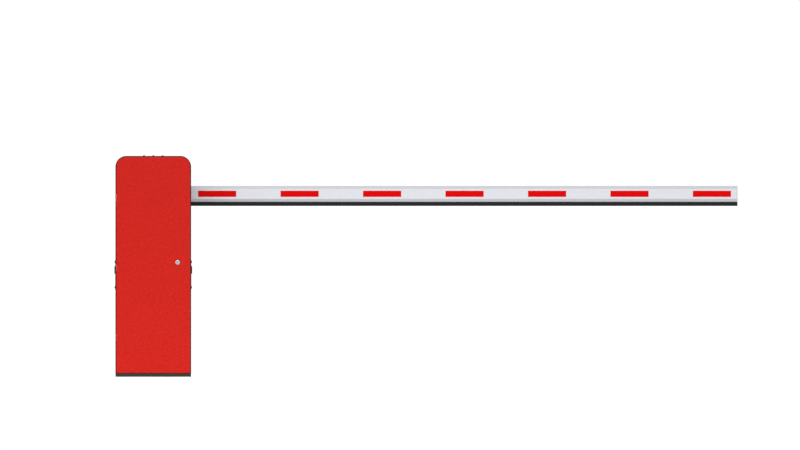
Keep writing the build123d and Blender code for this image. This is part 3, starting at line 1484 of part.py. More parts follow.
# Foam gasket on the door's inner skin, which meets the rain lip.
lip_middle = shell_wall + flange_width - rain_lip_wall / 2
gasket_front = front_flange_y - rain_lip - gasket_gap
gasket_bottom = base_height + flange_width - rain_lip_wall / 2
with BuildPart() as door_gasket:
    with BuildSketch(across(gasket_front)):
        make_face(outline(lip_middle - gasket_width / 2, gasket_bottom - gasket_width / 2))
        make_face(
            outline(lip_middle + gasket_width / 2, gasket_bottom + gasket_width / 2),
            mode=Mode.SUBTRACT,
        )
    extrude(amount=gasket_front - skin_back_y)
door_gasket.part.label = "door_gasket"
export_step(door_gasket.part, "parts/door_gasket.step")

# Lock: bezel and body through the door, with a nut behind the skin.
cam_front_y = front_flange_y + flange_thickness + 0.6
lock_back_y = cam_front_y - 0.4
with BuildPart() as lock_body:
    with BuildSketch(across(door_front_y)):
        with Locations((lock_x, lock_z)):
            Circle(lock_bezel_radius)
    extrude(amount=lock_bezel_height)
    fillet(lock_body.faces().sort_by(Axis.Y)[0].edges(), radius=2.0)
    with BuildSketch(across(lock_back_y)):
        with Locations((lock_x, lock_z)):
            Circle(lock_body_radius)
    extrude(amount=lock_back_y - door_front_y)
    with BuildSketch(across(skin_back_y + 6.0)):
        with Locations((lock_x, lock_z)):
            RegularPolygon(lock_body_radius + 5.0, 6)
    extrude(amount=6.0)
    with BuildSketch(across(lock_back_y)):
        with Locations((lock_x, lock_z)):
            Circle(lock_plug_radius + running_clearance)
    extrude(amount=lock_back_y - door_front_y + lock_bezel_height, mode=Mode.SUBTRACT)
lock_body.part.label = "lock_body"
export_step(lock_body.part, "parts/lock_body.step")

plug_front_y = door_front_y - lock_bezel_height + 0.6
key_slot_width = 1.6
key_slot_height = 7.0
with BuildPart() as lock_plug:
    with BuildSketch(across(cam_front_y)):
        with Locations((lock_x, lock_z)):
            Circle(lock_plug_radius)
    extrude(amount=cam_front_y - plug_front_y)
    with BuildSketch(across(cam_front_y + lock_cam_thickness + 5.0)):
        with Locations((lock_x, lock_z)):
            Rectangle(5.0, 5.0)
    extrude(amount=lock_cam_thickness + 5.0)
    with BuildSketch(across(plug_front_y + 8.0)):
        with Locations((lock_x, lock_z)):
            Rectangle(key_slot_width, key_slot_height)
    extrude(amount=8.0, mode=Mode.SUBTRACT)
lock_plug.part.label = "lock_plug"
export_step(lock_plug.part, "parts/lock_plug.step")

# Lock cam: hangs down when unlocked, and turns behind the front frame to lock.
with BuildPart() as lock_cam:
    with BuildSketch(across(cam_front_y + lock_cam_thickness)):
        cam_slot = lock_cam_reach - lock_cam_width / 2
        with Locations((lock_x, lock_z - cam_slot / 2)):
            SlotCenterToCenter(cam_slot, lock_cam_width, rotation=90)
        with Locations((lock_x, lock_z)):
            Rectangle(5.0, 5.0, mode=Mode.SUBTRACT)
    extrude(amount=lock_cam_thickness)
    with BuildSketch(across(cam_front_y + lock_cam_thickness + 4.0)):
        with Locations((lock_x, lock_z)):
            RegularPolygon(6.5, 6)
            Rectangle(5.0, 5.0, mode=Mode.SUBTRACT)
    extrude(amount=4.0)
lock_cam.part.label = "lock_cam"
export_step(lock_cam.part, "parts/lock_cam.step")
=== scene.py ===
import math

import bmesh
import bpy
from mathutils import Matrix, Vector


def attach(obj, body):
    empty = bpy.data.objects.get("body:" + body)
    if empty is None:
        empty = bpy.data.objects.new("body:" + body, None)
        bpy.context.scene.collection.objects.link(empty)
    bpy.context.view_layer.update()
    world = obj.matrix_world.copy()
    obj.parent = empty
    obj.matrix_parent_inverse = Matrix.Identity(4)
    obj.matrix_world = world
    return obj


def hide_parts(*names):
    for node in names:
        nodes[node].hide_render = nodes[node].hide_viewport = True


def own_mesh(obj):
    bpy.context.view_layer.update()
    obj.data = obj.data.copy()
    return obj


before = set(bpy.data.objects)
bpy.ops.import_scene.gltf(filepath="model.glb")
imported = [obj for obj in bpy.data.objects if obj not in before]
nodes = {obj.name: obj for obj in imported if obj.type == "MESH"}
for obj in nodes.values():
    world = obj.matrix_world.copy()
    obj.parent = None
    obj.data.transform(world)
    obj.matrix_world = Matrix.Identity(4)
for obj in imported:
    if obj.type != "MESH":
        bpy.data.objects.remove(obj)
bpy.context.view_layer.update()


# ---- Base tray -----------------------------------------------------------------------------------
# A folded steel tray with an upright rim, which stands on the floor and carries everything.
# It is powder coated in a dark green-grey with a fine sand texture before it is bolted down.

SHELL_GREY = (0.028, 0.033, 0.025)


def start_finish(name, metallic, specular, roughness):
    """A new material and its shader, with the values that are the same all over."""
    finish = bpy.data.materials.new(name)
    finish.use_nodes = True
    shader = finish.node_tree.nodes["Principled BSDF"]
    shader.inputs["Metallic"].default_value = metallic
    shader.inputs["Specular IOR Level"].default_value = specular
    shader.inputs["Roughness"].default_value = roughness
    return finish, shader


def speckle(finish, size, detail=2.0, stretch=(1.0, 1.0, 1.0), roughness=0.5):
    """Noise with grains about size metres across, read from the piece's own coordinates."""
    tree = finish.node_tree
    place = tree.nodes.new("ShaderNodeTexCoord")
    mapping = tree.nodes.new("ShaderNodeMapping")
    mapping.inputs["Scale"].default_value = stretch
    noise = tree.nodes.new("ShaderNodeTexNoise")
    noise.inputs["Scale"].default_value = 1.0 / size
    noise.inputs["Detail"].default_value = detail
    noise.inputs["Roughness"].default_value = roughness
    tree.links.new(place.outputs["Object"], mapping.inputs["Vector"])
    tree.links.new(mapping.outputs["Vector"], noise.inputs["Vector"])
    return noise.outputs["Fac"]


def between(finish, pattern, low, high, start=0.3, end=0.7):
    """A number that runs from low to high as the pattern runs from start to end."""
    span = finish.node_tree.nodes.new("ShaderNodeMapRange")
    span.inputs["From Min"].default_value = start
    span.inputs["From Max"].default_value = end
    span.inputs["To Min"].default_value = low
    span.inputs["To Max"].default_value = high
    finish.node_tree.links.new(pattern, span.inputs["Value"])
    return span.outputs["Result"]


def two_tones(finish, pattern, dark, light, start=0.3, end=0.7):
    """A colour that runs from dark to light as the pattern runs from start to end."""
    mix = finish.node_tree.nodes.new("ShaderNodeMix")
    mix.data_type = "RGBA"
    mix.inputs[6].default_value = (*dark, 1.0)
    mix.inputs[7].default_value = (*light, 1.0)
    finish.node_tree.links.new(between(finish, pattern, 0.0, 1.0, start, end), mix.inputs[0])
    return mix.outputs[2]


def relief(finish, shader, pattern, height, strength=1.0):
    """Bumps of that height in metres."""
    bump = finish.node_tree.nodes.new("ShaderNodeBump")
    bump.inputs["Distance"].default_value = height
    bump.inputs["Strength"].default_value = strength
    finish.node_tree.links.new(pattern, bump.inputs["Height"])
    finish.node_tree.links.new(bump.outputs["Normal"], shader.inputs["Normal"])


def shade(colour, factor):
    """The colour, darker or lighter."""
    return tuple(channel * factor for channel in colour)


def powder_coat(name, colour, contrast):
    """Baked sand-textured powder paint: fine pimples, a soft mottle and an uneven sheen."""
    finish, shader = start_finish(name, 0.0, 0.12, 0.6)
    links = finish.node_tree.links
    mottle = speckle(finish, 0.0075, 3.0, roughness=0.7)
    tone = two_tones(finish, mottle, shade(colour, 1.0 - contrast), shade(colour, 1.0 + contrast))
    links.new(tone, shader.inputs["Base Color"])
    pimples = speckle(finish, 0.0011, 1.0)
    links.new(between(finish, pimples, 0.5, 0.72), shader.inputs["Roughness"])
    relief(finish, shader, pimples, 0.0002, 0.5)
    return finish


def dress(finish, *names):
    """Gives CAD nodes a finish."""
    for name in names:
        nodes[name].data.materials.clear()
        nodes[name].data.materials.append(finish)


shell_paint = powder_coat("shell_paint", SHELL_GREY, 0.16)
dress(shell_paint, "base_tray")


# ---- Cabinet shell -------------------------------------------------------------------------------
# One sheet folded round the sides and roof, with welded front and rear frames and a rain lip.
# It has the same dark powder coat as the tray, inside and out.

dress(shell_paint, "cabinet_shell")


# ---- Mechanism plate -----------------------------------------------------------------------------
# A thick laser-cut steel plate on a welded foot, bolted to the tray and tied to the roof brace.
# Plate, brace, bolts and rail are zinc plated and passivated, with cloudy crystals and roll marks.


def plated_steel(name, colour, grain_size, roughness):
    """Plated or turned metal: cloudy tone, fine marks along one way and an uneven shine."""
    finish, shader = start_finish(name, 1.0, 0.5, roughness)
    links = finish.node_tree.links
    clouds = speckle(finish, grain_size * 20.0, 4.0, roughness=0.6)
    links.new(two_tones(finish, clouds, shade(colour, 0.8), shade(colour, 1.12)),
              shader.inputs["Base Color"])
    marks = speckle(finish, grain_size, 3.0, stretch=(1.0, 1.0, 0.12))
    links.new(between(finish, marks, roughness - 0.1, roughness + 0.14),
              shader.inputs["Roughness"])
    relief(finish, shader, marks, grain_size * 0.05, 0.5)
    return finish


zinc = plated_steel("zinc_steel", (0.56, 0.57, 0.58), 0.0012, 0.42)
dress(zinc, "mechanism_plate", "roof_brace", "frame_bolts", "din_rail")


# ---- Bearing housing -----------------------------------------------------------------------------
# A sand-cast aluminium tube on a square flange, which holds a ball bearing at each end.
# The casting keeps the rough skin of its mould, with dull patches and small pits.


def cast_metal(name, colour):
    """Sand-cast aluminium: rough skin, dull patches and small pits."""
    finish, shader = start_finish(name, 0.85, 0.5, 0.55)
    links = finish.node_tree.links
    skin = speckle(finish, 0.0022, 4.0, roughness=0.6)
    patches = speckle(finish, 0.03, 2.0)
    links.new(two_tones(finish, patches, shade(colour, 0.82), shade(colour, 1.08)),
              shader.inputs["Base Color"])
    links.new(between(finish, skin, 0.42, 0.68), shader.inputs["Roughness"])
    relief(finish, shader, skin, 0.0004, 0.5)
    return finish


cast_aluminium = cast_metal("cast_alu", (0.44, 0.45, 0.46))
dress(cast_aluminium, "bearing_housing")


# ---- Shaft and bearings --------------------------------------------------------------------------
# The shaft is ground steel with two keys, and it turns in two deep-groove ball bearings.
# Rings and balls are hardened and ground, so they are the brightest steel in the cabinet.

turned_steel = plated_steel("machined_steel", (0.6, 0.6, 0.61), 0.0005, 0.28)
dress(turned_steel, "bearing_outer_rings", "bearing_inner_rings", "bearing_balls", "main_shaft",
      "shaft_keys")


# ---- Rocker, rod and crank -----------------------------------------------------------------------
# Flame-cut steel levers, zinc plated, on turned pins. The rod is a threaded bar between two eyes,
# which carry pressed-in bronze bushes with an oily film.

dress(zinc, "rocker_arm", "crank_arm", "connecting_rod", "rod_ends")
dress(turned_steel, "rocker_pins", "crank_pin", "output_shaft")
bronze = plated_steel("bronze", (0.5, 0.31, 0.12), 0.0006, 0.36)
dress(bronze, "rod_bushes")


# ---- Gearbox -------------------------------------------------------------------------------------
# A cast casing with a cover screwed on its front, which holds the oil round the worm gear. The
# worm wheel is bronze, keyed to the output shaft, and bright where it was turned.

dress(cast_aluminium, "gearbox_casing", "gearbox_cover")
dress(bronze, "worm_wheel")


# ---- Motor ---------------------------------------------------------------------------------------
# A finned motor casing and a pressed fan cover, sprayed with one coat of blue-grey enamel.
# Fan, hand wheel and terminal box are moulded in black plastic with an eroded grain.


def moulded(name, colour, roughness, grain, specular=0.35):
    """Moulded plastic, rubber or thick enamel, with a fine grain."""
    finish, shader = start_finish(name, 0.0, specular, roughness)
    links = finish.node_tree.links
    texture = speckle(finish, grain, 2.0)
    links.new(two_tones(finish, texture, shade(colour, 0.88), shade(colour, 1.1)),
              shader.inputs["Base Color"])
    links.new(between(finish, texture, roughness - 0.08, roughness + 0.1),
              shader.inputs["Roughness"])
    relief(finish, shader, texture, grain * 0.12, 0.4)
    return finish


drive_enamel = moulded("drive_paint", (0.055, 0.085, 0.13), 0.34, 0.004, 0.45)
black_plastic = moulded("black_plastic", (0.022, 0.022, 0.024), 0.5, 0.0009)
dress(drive_enamel, "motor_casing", "fan_cover")
dress(turned_steel, "motor_shaft")
dress(black_plastic, "fan", "hand_wheel", "motor_terminal_box")


# ---- Motor cable ---------------------------------------------------------------------------------
# A round oil-proof sheath of soft grey plastic, from the motor's gland down to the terminals.
# The glands are moulded nuts, which screw down on the sheath and hold it.

sheath = moulded("cable_sheath", (0.045, 0.045, 0.047), 0.55, 0.0012)
dress(sheath, "motor_cable")
dress(black_plastic, "cable_glands")


# ---- Balance springs -----------------------------------------------------------------------------
# Two extension springs of blackened 5 mm wire hold most of the boom's weight. Each hangs by a
# full loop between an eye bolt and the rocker's pin, and it is stretched while the boom is down.

SPRING_X = -0.07071
SPRING_DEPTHS = (-0.023, 0.033)
LOWER_LOOP_Z = 0.618
UPPER_LOOP_Z = 0.91231
SPRING_WIRE = 0.005
SPRING_MEAN_RADIUS = 0.0135
LOOP_MEAN_RADIUS = 0.0085
COIL_LOW_Z = 0.6315
COIL_TURNS = 25
COIL_PITCH = 0.01073

black_steel = plated_steel("dark_steel", (0.06, 0.06, 0.062), 0.0008, 0.45)


def let_go():
    """Nothing selected and no piece in hand, before a new one is added."""
    bpy.ops.object.select_all(action="DESELECT")


def put_down(name, finish, body, smooth=35.0):
    """Ends the work on the piece in hand: its place goes into its mesh, and it gets its finish."""
    piece = bpy.context.object
    piece.name = name
    piece.data.name = name
    bpy.ops.object.transform_apply(location=True, rotation=True, scale=True)
    bpy.ops.object.shade_smooth_by_angle(angle=math.radians(smooth))
    piece.data.materials.clear()
    piece.data.materials.append(finish)
    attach(piece, body)
    return piece


def face_outwards():
    """In edit mode: joins doubled points and turns every face of the piece outwards."""
    bpy.ops.mesh.select_all(action="SELECT")
    bpy.ops.mesh.remove_doubles(threshold=0.00002)
    bpy.ops.mesh.normals_make_consistent(inside=False)


coils = []
for side, depth in zip(("front", "back"), SPRING_DEPTHS):
    let_go()
    bpy.ops.mesh.primitive_circle_add(
        vertices=10, radius=SPRING_WIRE / 2, location=(SPRING_MEAN_RADIUS, 0.0, 0.0),
        rotation=(math.pi / 2, 0.0, 0.0))
    bpy.ops.object.transform_apply(location=True, rotation=True)
    winding = bpy.context.object.modifiers.new("winding", "SCREW")
    winding.axis = "Z"
    winding.angle = 2 * math.pi
    winding.screw_offset = COIL_PITCH
    winding.iterations = COIL_TURNS
    winding.steps = winding.render_steps = 20
    bpy.ops.object.modifier_apply(modifier="winding")
    bpy.ops.object.mode_set(mode="EDIT")
    bpy.ops.mesh.select_all(action="SELECT")
    bpy.ops.mesh.fill_holes(sides=12)
    # The two ends of the wire turn in to the middle, where the loops stand on them.
    for height in (0.0, COIL_PITCH * COIL_TURNS):
        bpy.ops.mesh.primitive_cylinder_add(
            vertices=10, radius=SPRING_WIRE / 2, depth=SPRING_MEAN_RADIUS,
            location=(SPRING_MEAN_RADIUS / 2, 0.0, height), rotation=(0.0, math.pi / 2, 0.0))
    face_outwards()
    bpy.ops.object.mode_set(mode="OBJECT")
    bpy.context.object.location = (SPRING_X, depth, COIL_LOW_Z)
    coil = put_down("spring_coil_" + side, black_steel, "frame", 60.0)
    coils.append((coil, depth))
    for end, height, body in (("lower", LOWER_LOOP_Z, "frame"), ("upper", UPPER_LOOP_Z, "boom")):
        let_go()
        bpy.ops.mesh.primitive_torus_add(
            major_radius=LOOP_MEAN_RADIUS, minor_radius=SPRING_WIRE / 2, major_segments=40,
            minor_segments=12, location=(SPRING_X, depth, height),
            rotation=(math.pi / 2, 0.0, 0.0))
        loop = put_down("spring_loop_" + end + "_" + side, black_steel, body, 60.0)
for coil, depth in coils:
    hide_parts("balance_springs")
    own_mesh(coil)
dress(zinc, "spring_anchor", "spring_eyebolts")


# ---- Stops ---------------------------------------------------------------------------------------
# A welded and plated bracket over the hub, bolted to the plate. Its two buffers are moulded
# rubber, and they catch the rocker's arms when the boom is down and when it is up.

rubber = moulded("rubber", (0.014, 0.0145, 0.0155), 0.75, 0.0016, 0.12)
dress(zinc, "stop_bracket")
dress(rubber, "stop_buffers")


# ---- Controller ----------------------------------------------------------------------------------
# A light grey moulded box with a deep lid. The lid carries a keypad with three raised buttons,
# two indicator lamps, and a slotted screw in each corner.

LID_MIDDLE = (0.07, 0.28)
LID_FACE_Y = 0.033
KEYPAD_SIZE = (0.064, 0.112)
KEYPAD_THICKNESS = 0.0016
KEYPAD_RIM = 0.0022
KEYPAD_DISH = 0.0005
KEYPAD_Z = 0.296
KEYPAD_FACE_Y = LID_FACE_Y - KEYPAD_THICKNESS + KEYPAD_DISH
BUTTON_RADIUS = 0.0105
BUTTON_HEIGHT = 0.003
BUTTON_ROUNDING = 0.0011
BUTTON_DISH = 0.0006
BUTTON_STEP = 0.031
BUTTON_DROP = 0.006
SYMBOL_RADIUS = 0.0046
SYMBOL_HEIGHT = 0.0006
LAMP_RADIUS = 0.0028
LAMP_HEIGHT = 0.0036
LAMP_SHIFT = 0.012
LAMP_RISE = 0.044
LID_SCREW_SPREAD = (0.048, 0.095)

grey_plastic = moulded("grey_plastic", (0.5, 0.51, 0.52), 0.48, 0.0009)
dress(grey_plastic, "controller_box", "controller_lid")


def pick_faces(test):
    """In edit mode: selects only the faces whose middle and normal pass the test."""
    bpy.ops.mesh.select_mode(type="FACE")
    bpy.ops.mesh.select_all(action="DESELECT")
    piece = bpy.context.object
    body = bmesh.from_edit_mesh(piece.data)
    body.faces.ensure_lookup_table()
    for face in body.faces:
        middle = piece.matrix_world @ face.calc_center_median()
        normal = (piece.matrix_world.to_3x3() @ face.normal).normalized()
        if test(middle, normal):
            face.select_set(True)
    bmesh.update_edit_mesh(piece.data)


def pick_front():
    """In edit mode: selects the flat front of the piece."""
    pick_faces(lambda middle, normal: normal.y < -0.99)


def push_in(distance):
    """In edit mode: moves what is selected towards the back of the cabinet."""
    bpy.ops.transform.translate(value=(0.0, distance, 0.0))


def round_edges(width, segments):
    """Rounds every sharp edge of the piece in hand."""
    rounding = bpy.context.object.modifiers.new("rounding", "BEVEL")
    rounding.width = width
    rounding.segments = segments
    bpy.ops.object.modifier_apply(modifier="rounding")


def small_block(size, place):
    """Starts a block of that size, and leaves it in hand."""
    let_go()
    bpy.ops.mesh.primitive_cube_add(size=1.0, location=place)
    bpy.context.object.scale = size
    bpy.ops.object.transform_apply(location=True, scale=True)


def front_disc(radius, height, x, face_y, z, vertices=40):
    """Starts a round piece that stands height proud of an upright face, and leaves it in hand."""
    let_go()
    bpy.ops.mesh.primitive_cylinder_add(
        vertices=vertices, radius=radius, depth=height, location=(x, face_y - height / 2, z),
        rotation=(math.pi / 2, 0.0, 0.0))
    bpy.ops.object.transform_apply(location=True, rotation=True)


small_block((KEYPAD_SIZE[0], KEYPAD_THICKNESS, KEYPAD_SIZE[1]),
            (LID_MIDDLE[0], LID_FACE_Y - KEYPAD_THICKNESS / 2, KEYPAD_Z))
round_edges(0.0006, 2)
bpy.ops.object.mode_set(mode="EDIT")
pick_front()
bpy.ops.mesh.inset(thickness=KEYPAD_RIM, depth=0.0)
push_in(KEYPAD_DISH)
bpy.ops.object.mode_set(mode="OBJECT")
keypad_film = moulded("keypad_film", (0.09, 0.1, 0.115), 0.38, 0.0007)
put_down("controller_keypad", keypad_film, "frame")

button_rubber = moulded("button_rubber", (0.62, 0.63, 0.63), 0.55, 0.0008)
symbol_print = moulded("symbol_print", (0.03, 0.03, 0.033), 0.5, 0.0007)
for count, (word, sides, turn) in enumerate((("up", 3, 0.0), ("stop", 4, math.pi / 4),
                                             ("down", 3, math.pi))):
    button_z = KEYPAD_Z + (1 - count) * BUTTON_STEP - BUTTON_DROP
    front_disc(BUTTON_RADIUS, BUTTON_HEIGHT, LID_MIDDLE[0], KEYPAD_FACE_Y, button_z)
    bpy.ops.object.mode_set(mode="EDIT")
    pick_front()
    bpy.ops.mesh.bevel(offset=BUTTON_ROUNDING, segments=3)
    pick_front()
    bpy.ops.mesh.inset(thickness=0.0022, depth=0.0)
    push_in(BUTTON_DISH)
    bpy.ops.object.mode_set(mode="OBJECT")
    put_down("controller_button_" + word, button_rubber, "frame")
    front_disc(SYMBOL_RADIUS, SYMBOL_HEIGHT, 0.0, 0.0, 0.0, sides)
    bpy.context.object.rotation_euler = (0.0, turn, 0.0)
    bpy.context.object.location = (
        LID_MIDDLE[0], KEYPAD_FACE_Y - BUTTON_HEIGHT + BUTTON_DISH + 0.0001, button_z)
    bpy.ops.object.transform_apply(location=True, rotation=True)
    bpy.ops.object.mode_set(mode="EDIT")
    pick_front()
    bpy.ops.mesh.bevel(offset=0.0002, segments=1)
    bpy.ops.object.mode_set(mode="OBJECT")
    put_down("controller_symbol_" + word, symbol_print, "frame")

for word, shift, colour in (("power", -LAMP_SHIFT, (0.02, 0.35, 0.05)),
                            ("fault", LAMP_SHIFT, (0.45, 0.02, 0.01))):
    front_disc(LAMP_RADIUS, LAMP_HEIGHT, LID_MIDDLE[0] + shift, KEYPAD_FACE_Y,
               KEYPAD_Z + LAMP_RISE, 28)
    bpy.ops.object.mode_set(mode="EDIT")
    pick_front()
    bpy.ops.mesh.bevel(offset=0.0016, segments=4)
    bpy.ops.object.mode_set(mode="OBJECT")
    lamp_lens = moulded("lamp_" + word, colour, 0.2, 0.003, 0.5)
    put_down("controller_lamp_" + word, lamp_lens, "frame")


def slot_across(x, half_width, depth):
    """In edit mode: cuts an upright driver slot into the front face of the screw in hand."""
    for edge in (-half_width, half_width):
        bpy.ops.mesh.select_all(action="SELECT")
        bpy.ops.mesh.bisect(plane_co=(x + edge, 0.0, 0.0), plane_no=(1.0, 0.0, 0.0))
    pick_faces(lambda middle, normal: normal.y < -0.99 and abs(middle.x - x) < half_width)
    bpy.ops.mesh.extrude_region_move(TRANSFORM_OT_translate={"value": (0.0, depth, 0.0)})


for count, (across_x, up_z) in enumerate(((-1, -1), (1, -1), (-1, 1), (1, 1))):
    screw_x = LID_MIDDLE[0] + across_x * LID_SCREW_SPREAD[0]
    front_disc(0.0042, 0.0012, screw_x, LID_FACE_Y, LID_MIDDLE[1] + up_z * LID_SCREW_SPREAD[1], 32)
    bpy.ops.object.mode_set(mode="EDIT")
    pick_front()
    bpy.ops.mesh.bevel(offset=0.0004, segments=2)
    slot_across(screw_x, 0.0005, 0.0009)
    bpy.ops.object.mode_set(mode="OBJECT")
    lid_screw = put_down("controller_screw_" + str(count + 1), zinc, "frame")


# ---- Switchgear on the rail ----------------------------------------------------------------------
# Main switch, power supply and loop detector snap on to the rail, in light grey plastic. Their
# levers and adjusters are moulded separately, and each terminal has two plated screws.

RAIL_Z = 0.082
MODULE_FACE_Y = 0.0375
SWITCH_X = 0.07
POLE_STEP = 0.0176
LEVER_SIZE = (0.0085, 0.009, 0.011)
LEVER_REACH = 0.0035
LEVER_DROP = 0.004
ADJUSTER_PLACES = ((0.016, 0.09), (-0.098, 0.093), (-0.098, 0.073))
TERMINAL_X = -0.045
TERMINALS = 10
TERMINAL_STEP = 0.0062
TERMINAL_SHOULDER_Y = 0.0765
TERMINAL_SCREW_RISE = 0.0235

dress(grey_plastic, "din_modules", "terminal_blocks")

for count in range(3):
    small_block(LEVER_SIZE, (SWITCH_X + (count - 1) * POLE_STEP, MODULE_FACE_Y - LEVER_REACH,
                             RAIL_Z - LEVER_DROP))
    bpy.ops.object.mode_set(mode="EDIT")
    pick_front()
    bpy.ops.transform.resize(value=(0.85, 1.0, 0.55))
    bpy.ops.transform.translate(value=(0.0, 0.0, 0.002))
    bpy.ops.object.mode_set(mode="OBJECT")
    round_edges(0.0008, 2)
    put_down("switch_lever_" + str(count + 1), black_plastic, "frame")

for count, (dial_x, dial_z) in enumerate(ADJUSTER_PLACES):
    front_disc(0.0048, 0.0022, dial_x, MODULE_FACE_Y, dial_z, 32)
    bpy.ops.object.mode_set(mode="EDIT")
    pick_front()
    bpy.ops.mesh.bevel(offset=0.0006, segments=2)
    slot_across(dial_x, 0.0007, 0.0013)
    bpy.ops.object.mode_set(mode="OBJECT")
    put_down("module_adjuster_" + str(count + 1), keypad_film, "frame")

terminal_screws = []
for row in (-1, 1):
    for count in range(TERMINALS):
        screw_x = TERMINAL_X + (count - (TERMINALS - 1) / 2) * TERMINAL_STEP
        front_disc(0.0019, 0.0008, screw_x, TERMINAL_SHOULDER_Y,
                   RAIL_Z + row * TERMINAL_SCREW_RISE, 20)
        bpy.ops.object.mode_set(mode="EDIT")
        slot_across(screw_x, 0.0003, 0.0006)
        bpy.ops.object.mode_set(mode="OBJECT")
        terminal_screws.append(bpy.context.object)
let_go()
for screw in terminal_screws:
    screw.select_set(True)
bpy.ops.object.join()
put_down("terminal_screws", zinc, "frame")


# ---- Photocells ----------------------------------------------------------------------------------
# A flush moulded housing in each side wall, with two domed lenses of dark red filter plastic.
# A hood with two round openings snaps over the lenses and keeps rain and low sun off them.

LENS_HEIGHTS = (0.483, 0.499)
CELL_PLATE_X = 0.175
CELL_Y = -0.07
HOOD_SIZE = (0.0039, 0.0215, 0.0345)
HOOD_OPENING_RADIUS = 0.0071

dress(black_plastic, "photocell_housings")
for side in (-1, 1):
    apertures = []
    for lens_z in LENS_HEIGHTS:
        let_go()
        bpy.ops.mesh.primitive_cylinder_add(
            vertices=40, radius=HOOD_OPENING_RADIUS, depth=0.02,
            location=(side * (CELL_PLATE_X + 0.002), CELL_Y, lens_z),
            rotation=(0.0, math.pi / 2, 0.0))
        apertures.append(bpy.context.object)
    small_block(HOOD_SIZE, (side * (CELL_PLATE_X + HOOD_SIZE[0] / 2), CELL_Y,
                            sum(LENS_HEIGHTS) / 2))
    round_edges(0.0012, 4)
    hood = bpy.context.object
    for aperture in apertures:
        opening = hood.modifiers.new("aperture", "BOOLEAN")
        opening.object = aperture
        opening.operation = "DIFFERENCE"
        opening.solver = "EXACT"
        bpy.ops.object.modifier_apply(modifier="aperture")
        bpy.data.objects.remove(aperture)
    put_down("photocell_hood_" + ("left" if side < 0 else "right"), black_plastic, "frame")
lens_plastic = moulded("lens_plastic", (0.016, 0.002, 0.002), 0.12, 0.02, 0.6)
dress(lens_plastic, "photocell_lenses")


# ---- Screws in the sheet metal -------------------------------------------------------------------
# Blackened button-head screws with a hexagon socket: three in the roof, eight round the rear
# panel and two at each photocell. The heads are cold formed, so their edges are soft.


def button_head(radius, height, socket):
    """Starts a screw head at the origin that points up, with its socket, and leaves it in hand."""
    let_go()
    bpy.ops.mesh.primitive_cylinder_add(
        vertices=36, radius=radius, depth=height, location=(0.0, 0.0, height / 2))
    bpy.ops.object.transform_apply(location=True)
    bpy.ops.object.mode_set(mode="EDIT")
    pick_faces(lambda middle, normal: normal.z > 0.99)
    bpy.ops.mesh.bevel(offset=height * 0.45, segments=4)
    bpy.ops.object.mode_set(mode="OBJECT")
    head = bpy.context.object
    let_go()
    bpy.ops.mesh.primitive_cylinder_add(
        vertices=6, radius=socket, depth=height, location=(0.0, 0.0, height))
    cutter = bpy.context.object
    let_go()
    head.select_set(True)
    bpy.context.view_layer.objects.active = head
    cut = head.modifiers.new("socket", "BOOLEAN")
    cut.object = cutter
    cut.operation = "DIFFERENCE"
    cut.solver = "EXACT"
    bpy.ops.object.modifier_apply(modifier="socket")
    bpy.data.objects.remove(cutter)
    return head


def set_screws(name, head, places, turn, node):
    """Copies the head in hand to every place, turned to its face, as one piece for the node."""
    heads = []
    for place in places:
        let_go()
        head.select_set(True)
        bpy.context.view_layer.objects.active = head
        bpy.ops.object.duplicate()
        bpy.context.object.rotation_euler = turn(place)
        bpy.context.object.location = place
        heads.append(bpy.context.object)
    bpy.data.objects.remove(head)
    let_go()
    for one in heads:
        one.select_set(True)
    bpy.context.view_layer.objects.active = heads[0]
    bpy.ops.object.join()
    piece = put_down(name, black_steel, "frame")
    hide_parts(node)


ROOF_SCREW_PLACES = [(x, 0.093, 1.015) for x in (-0.0428, 0.0, 0.0428)]
PANEL_SCREW_PLACES = [(x, 0.1405, z) for x in (-0.1605, 0.1605)
                      for z in (0.045, 0.345, 0.645, 0.93)]
CELL_SCREW_PLACES = [(x, CELL_Y, z) for x in (-CELL_PLATE_X, CELL_PLATE_X)
                     for z in (0.411, 0.528)]
set_screws("roof_button_screws", button_head(0.0046, 0.004, 0.0018), ROOF_SCREW_PLACES,
           lambda place: (0.0, 0.0, 0.0), "roof_screws")
set_screws("rear_button_screws", button_head(0.0046, 0.003, 0.0018), PANEL_SCREW_PLACES,
           lambda place: (-math.pi / 2, 0.0, 0.0), "rear_panel_screws")
set_screws("photocell_button_screws", button_head(0.005, 0.003, 0.002), CELL_SCREW_PLACES,
           lambda place: (0.0, math.copysign(math.pi / 2, place[0]), 0.0), "photocell_screws")


# ---- Rear panel ----------------------------------------------------------------------------------
# A flat sheet on the rear frame, in the same red powder coat as the door, with a black plastic
# ring round the shaft.

DOOR_RED = (0.482, 0.0082, 0.0034)
door_paint = powder_coat("door_paint", DOOR_RED, 0.2)
dress(door_paint, "rear_panel")
dress(black_plastic, "shaft_ring")


# ---- Boom holder ---------------------------------------------------------------------------------
# A cast aluminium plate keyed to the shaft's end, and a pressed steel clamp plate in the
# cabinet's dark paint. Four long plated bolts pull the clamp against the boom.

dress(cast_aluminium, "boom_holder")
dress(shell_paint, "boom_clamp")
dress(zinc, "clamp_bolts")


# ---- Boom ----------------------------------------------------------------------------------------
# An eight-sided aluminium extrusion, satin anodised. The die leaves fine lines along its faces.
# A rubber edge slides into its lower slot, and a moulded cap closes the tip.


